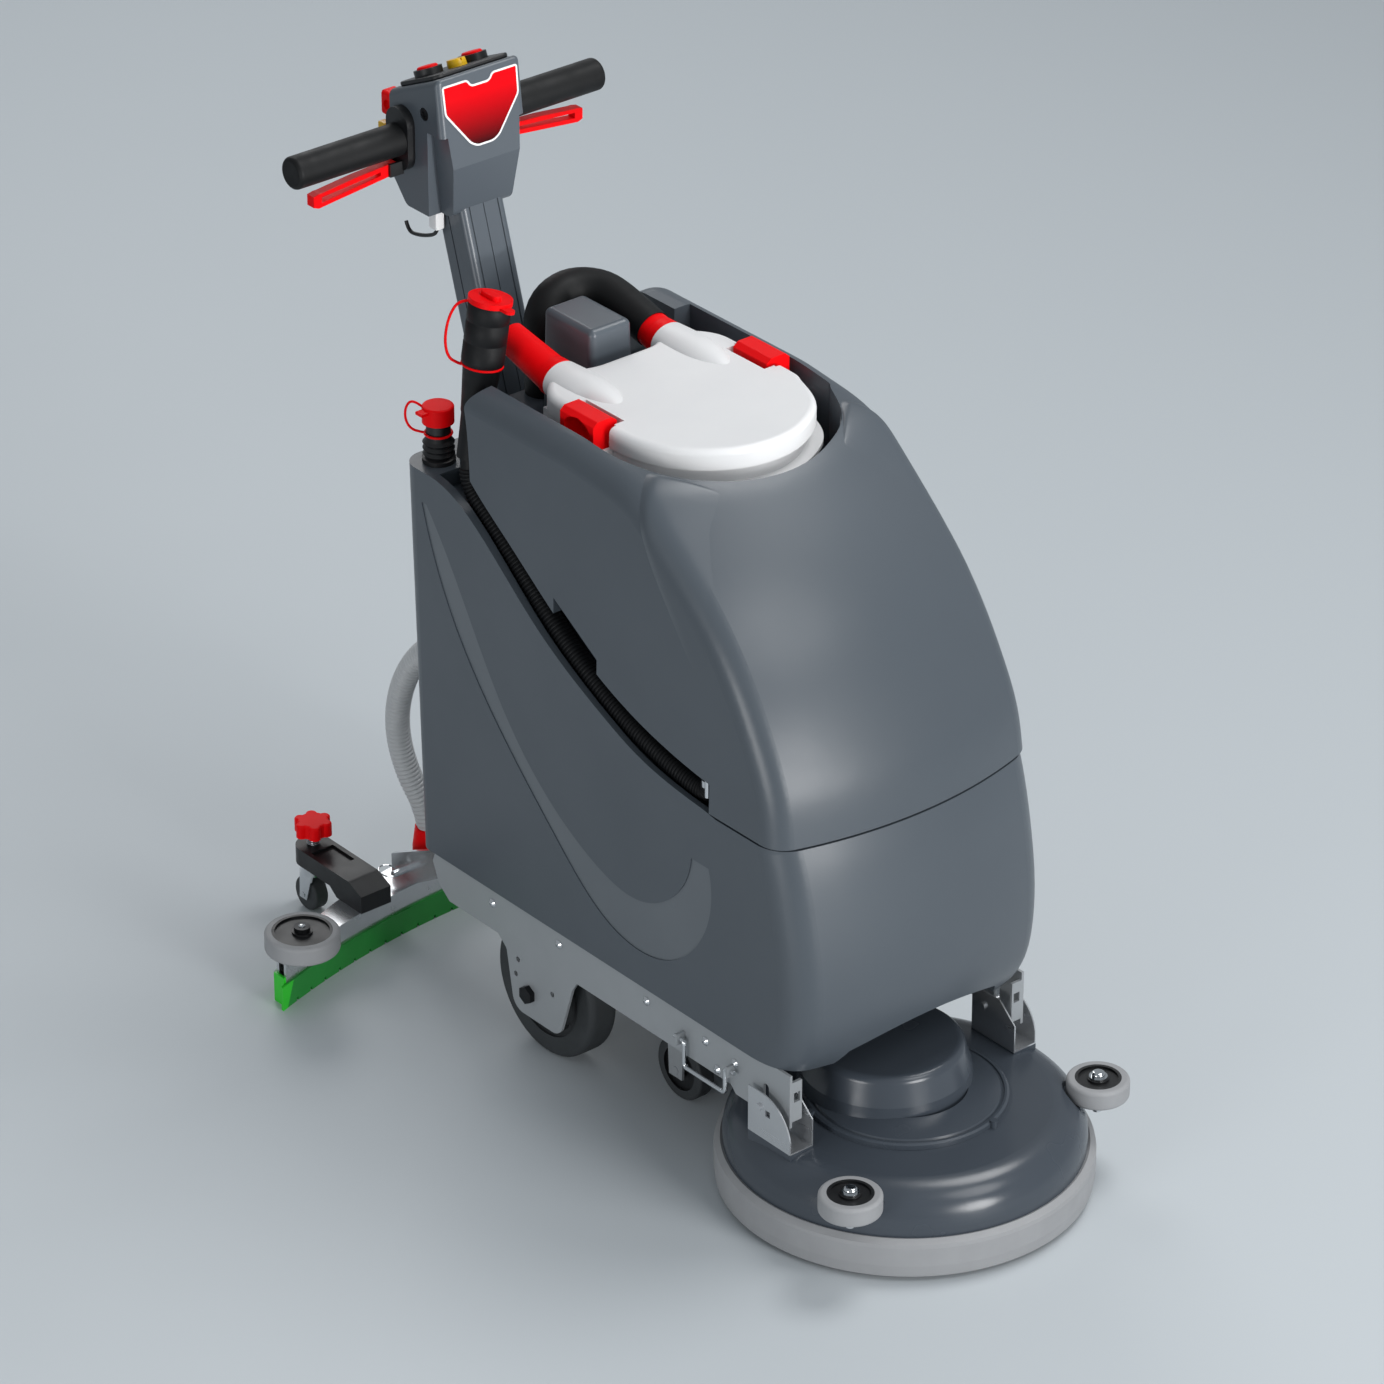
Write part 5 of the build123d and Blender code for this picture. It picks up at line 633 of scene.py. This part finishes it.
# Squeegee: a folded stainless channel, two green polyurethane blades, black arms with casters, red
# height knobs on sprung screws, and rollers that keep the ends off the walls.
# Cast polyurethane: tough and slightly clear, so its green is deep with a wet shine.
green_rubber = surface("green polyurethane", "#1f8f35", "#17812c", patch=45, grain=1.1, depth=0.01,
                       gloss=0.30, matt=0.42)
# The cut ends are painted a brighter green: a painted glow that stands for light coming through them.
blade_tip_glow = surface("green polyurethane with painted glow", "#2fd02c", "#28c426", patch=30, grain=1.1, depth=0.008,
                    gloss=0.28, matt=0.38)
BLADE_END = 364.0
dress(stainless, "squeegee_channel")
dress(green_rubber, "front_blade", "rear_blade")
for blade in ("front_blade", "rear_blade"):
    # Blade ends past BLADE_END get the painted glow.
    two_tone(blade, blade_tip_glow, lambda middle, facing: abs(middle.x) > BLADE_END)
dress(black_moulding, "caster_arms")
dress(red_moulding, "squeegee_cuff")
ROLLER_AXIS = (338.0, 434.9)
ROLLER_HUB = 41.3
ROLLER_TOP = 107.2
ROLLER_SCREW = [(0, POLE), (0, 4.4), (0.8, 4.6), (1.8, 3.6), (2.4, 2.0), (2.5, POLE)]
BOLT_TOP = 113.4
BOLT_REACH = 12.0
KNOB_AXIS = (187.0, 612.0)
KNOB_GAP = (104.3, 115.8)
SPRING_TURNS = 4
SPRING_RADIUS = 9
SPRING_WIRE = 0.9
SPRING_STEPS = 12
SPRING_PLAY = 1


def from_roller(middle):
    """Distance of a place from the axis of the end roller on its side."""
    return math.hypot(abs(middle.x) - ROLLER_AXIS[0], middle.y - ROLLER_AXIS[1])


two_tone("squeegee_channel", black_oxide,
         lambda middle, facing: middle.z > ROLLER_TOP and from_roller(middle) < BOLT_REACH)
springs = bmesh.new()
roller_screws = bmesh.new()
for side, x in (("right", -KNOB_AXIS[0]), ("left", KNOB_AXIS[0])):
    dress(red_moulding, f"height_knob_{side}")
    two_tone(f"height_knob_{side}", zinc_plate, lambda middle, facing: middle.z < KNOB_GAP[1])
    dress(chrome_plate, f"caster_fork_{side}")
    dress(tyre_rubber, f"caster_wheel_{side}")
    dress(grey_rubber, f"end_roller_{side}")
    two_tone(f"end_roller_{side}", black_moulding, lambda middle, facing: from_roller(middle) < ROLLER_HUB)
    turns = [step / SPRING_STEPS for step in range(SPRING_STEPS * SPRING_TURNS + 1)]
    rise = (KNOB_GAP[1] - KNOB_GAP[0] - 2 * SPRING_PLAY) / SPRING_TURNS
    wire(springs, [(x + SPRING_RADIUS * math.cos(2 * math.pi * t),
                    KNOB_AXIS[1] + SPRING_RADIUS * math.sin(2 * math.pi * t),
                    KNOB_GAP[0] + SPRING_PLAY + rise * t) for t in turns], SPRING_WIRE)
    turn(roller_screws, ROLLER_SCREW, 20,
         stand((math.copysign(ROLLER_AXIS[0], x), ROLLER_AXIS[1], BOLT_TOP), UP))
piece("knob_springs", springs, [zinc_plate], "squeegee")
piece("roller_screws", roller_screws, [chrome_plate], "squeegee")

# Clevis pin: a turned and chrome-plated steel pin through the foot of the right hitch arm. A split
# ring through its end keeps it in.
CLEVIS = Vector((-80.0, 507.0, 82.0))
CLEVIS_PIN = [(0, POLE), (0, 7.4), (0.8, 8), (3.4, 8), (4, 7.4), (4, 5), (51, 5), (52, 4.2), (52, POLE)]
SPLIT_RING = ring_stations(13, 1.0)
RING_OUT = Vector((-54.0, 8.0, 3.0))
RING_LEAN = (0.1, -0.2, 1)
clevis = bmesh.new()
turn(clevis, CLEVIS_PIN, 24, stand(CLEVIS, (-1, 0, 0)))
turn(clevis, SPLIT_RING, 40, stand(CLEVIS + RING_OUT, RING_LEAN))
piece("clevis_pin", clevis, [chrome_plate], "squeegee")

# Squeegee hose: corrugated light grey hose from the cuff on the channel up to the rear of the tank.
# It is pushed on at both ends. The real hose bends when the squeegee is lifted; this one keeps one shape and
# is on no body.
# Grey hose polyethylene: blow moulded, pale and waxy.
grey_hose = surface("light grey hose polyethylene", "#bfc1c2", "#b4b6b8", patch=22, grain=0.8, depth=0.01,
                    gloss=0.40, matt=0.52)
SQUEEGEE_ROUTE = [(-55, 522.3, 94.4), (-55, 522.3, 140), (-76, 552, 215), (-86, 555, 300), (-84, 520, 390),
                  (-74, 456, 452), (-70, 412, 480), (-70, 370, 480)]
squeegee_run = bmesh.new()
hose(squeegee_run, SQUEEGEE_ROUTE, pitch=6.5, root=15.2, crest=17.0, bore=12.0)
lifted = piece("squeegee_hose_ribbed", squeegee_run, [grey_hose], sharp=60)
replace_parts(lifted, "squeegee_hose")
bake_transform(lifted)

# Studio: a pale seamless floor, five large soft lamps, a narrow one for the head and the column, and
# a camera at the photograph's angle on a long lens.
CAMERA_TARGET = Vector((-0.00072, 0.02684, 0.52639))
CAMERA_TURN = math.radians(-39.56)
CAMERA_RISE = math.radians(29.18)
CAMERA_DISTANCE = 8.37564
PIXELS_FOCAL = 6500
FRAME_PIXELS = 1384
FLOOR_HALF = 12.0
BODY_MIDDLE = (0, 0, 0.55)
HEAD_MIDDLE = (0.0, 0.5, 1.17)
look_back = Vector((math.sin(CAMERA_TURN) * math.cos(CAMERA_RISE),
                    -math.cos(CAMERA_TURN) * math.cos(CAMERA_RISE), math.sin(CAMERA_RISE)))
camera = bpy.data.objects.new("camera", bpy.data.cameras.new("camera"))
camera.data.sensor_width = 36.0
camera.data.lens = PIXELS_FOCAL / FRAME_PIXELS * camera.data.sensor_width
camera.data.clip_end = 60.0
camera.location = CAMERA_TARGET + look_back * CAMERA_DISTANCE
camera.rotation_mode = "QUATERNION"
camera.rotation_quaternion = (-look_back).to_track_quat("-Z", "Y")
scene.collection.objects.link(camera)
scene.camera = camera

floor_mesh = bpy.data.meshes.new("floor")
floor_form = bmesh.new()
bmesh.ops.create_grid(floor_form, x_segments=1, y_segments=1, size=FLOOR_HALF)
floor_form.to_mesh(floor_mesh)
floor_form.free()
floor = bpy.data.objects.new("floor", floor_mesh)
scene.collection.objects.link(floor)
# Painted floor: rolled flat, pale and without a mirror image.
floor_paint = surface("pale floor", "#c3c9cd", "#bfc5c9", patch=900, grain=30, depth=0.01,
                      gloss=0.5, matt=0.6)
floor_mesh.materials.append(floor_paint)


def hang(name, kind, place, aim, power):
    """Hangs a lamp at a place, in m, turned to what it lights."""
    lamp = bpy.data.objects.new(name, bpy.data.lights.new(name, kind))
    lamp.data.energy = power
    lamp.location = place
    lamp.rotation_mode = "QUATERNION"
    lamp.rotation_quaternion = (Vector(aim) - Vector(place)).to_track_quat("-Z", "Y")
    scene.collection.objects.link(lamp)
    return lamp.data


for name, place, size, power in (
        ("key", (0.9, -3.2, 4.0), 2.2, 45.0), ("top", (1.8, -0.4, 4.3), 2.0, 70.0),
        ("front", (0.2, -5.0, 1.5), 2.0, 125.0), ("fill", (-4.2, -1.4, 0.9), 1.6, 44.0),
        ("back", (1.5, 4.0, 3.2), 2.5, 45.0)):
    disc = hang(name, "AREA", place, BODY_MIDDLE, power)
    disc.shape = "DISK"
    disc.size = size
beam = hang("beam", "SPOT", (0.6, -4.0, 0.9), HEAD_MIDDLE, 900.0)
beam.spot_size = math.radians(5.6)
beam.spot_blend = 1.0
beam.shadow_soft_size = 0.25

sky = bpy.data.worlds.new("studio")
sky.use_nodes = True
sky.node_tree.nodes["Background"].inputs["Color"].default_value = linear("#cfd6dc")
sky.node_tree.nodes["Background"].inputs["Strength"].default_value = 0.5
scene.world = sky
scene.view_settings.view_transform = "Standard"
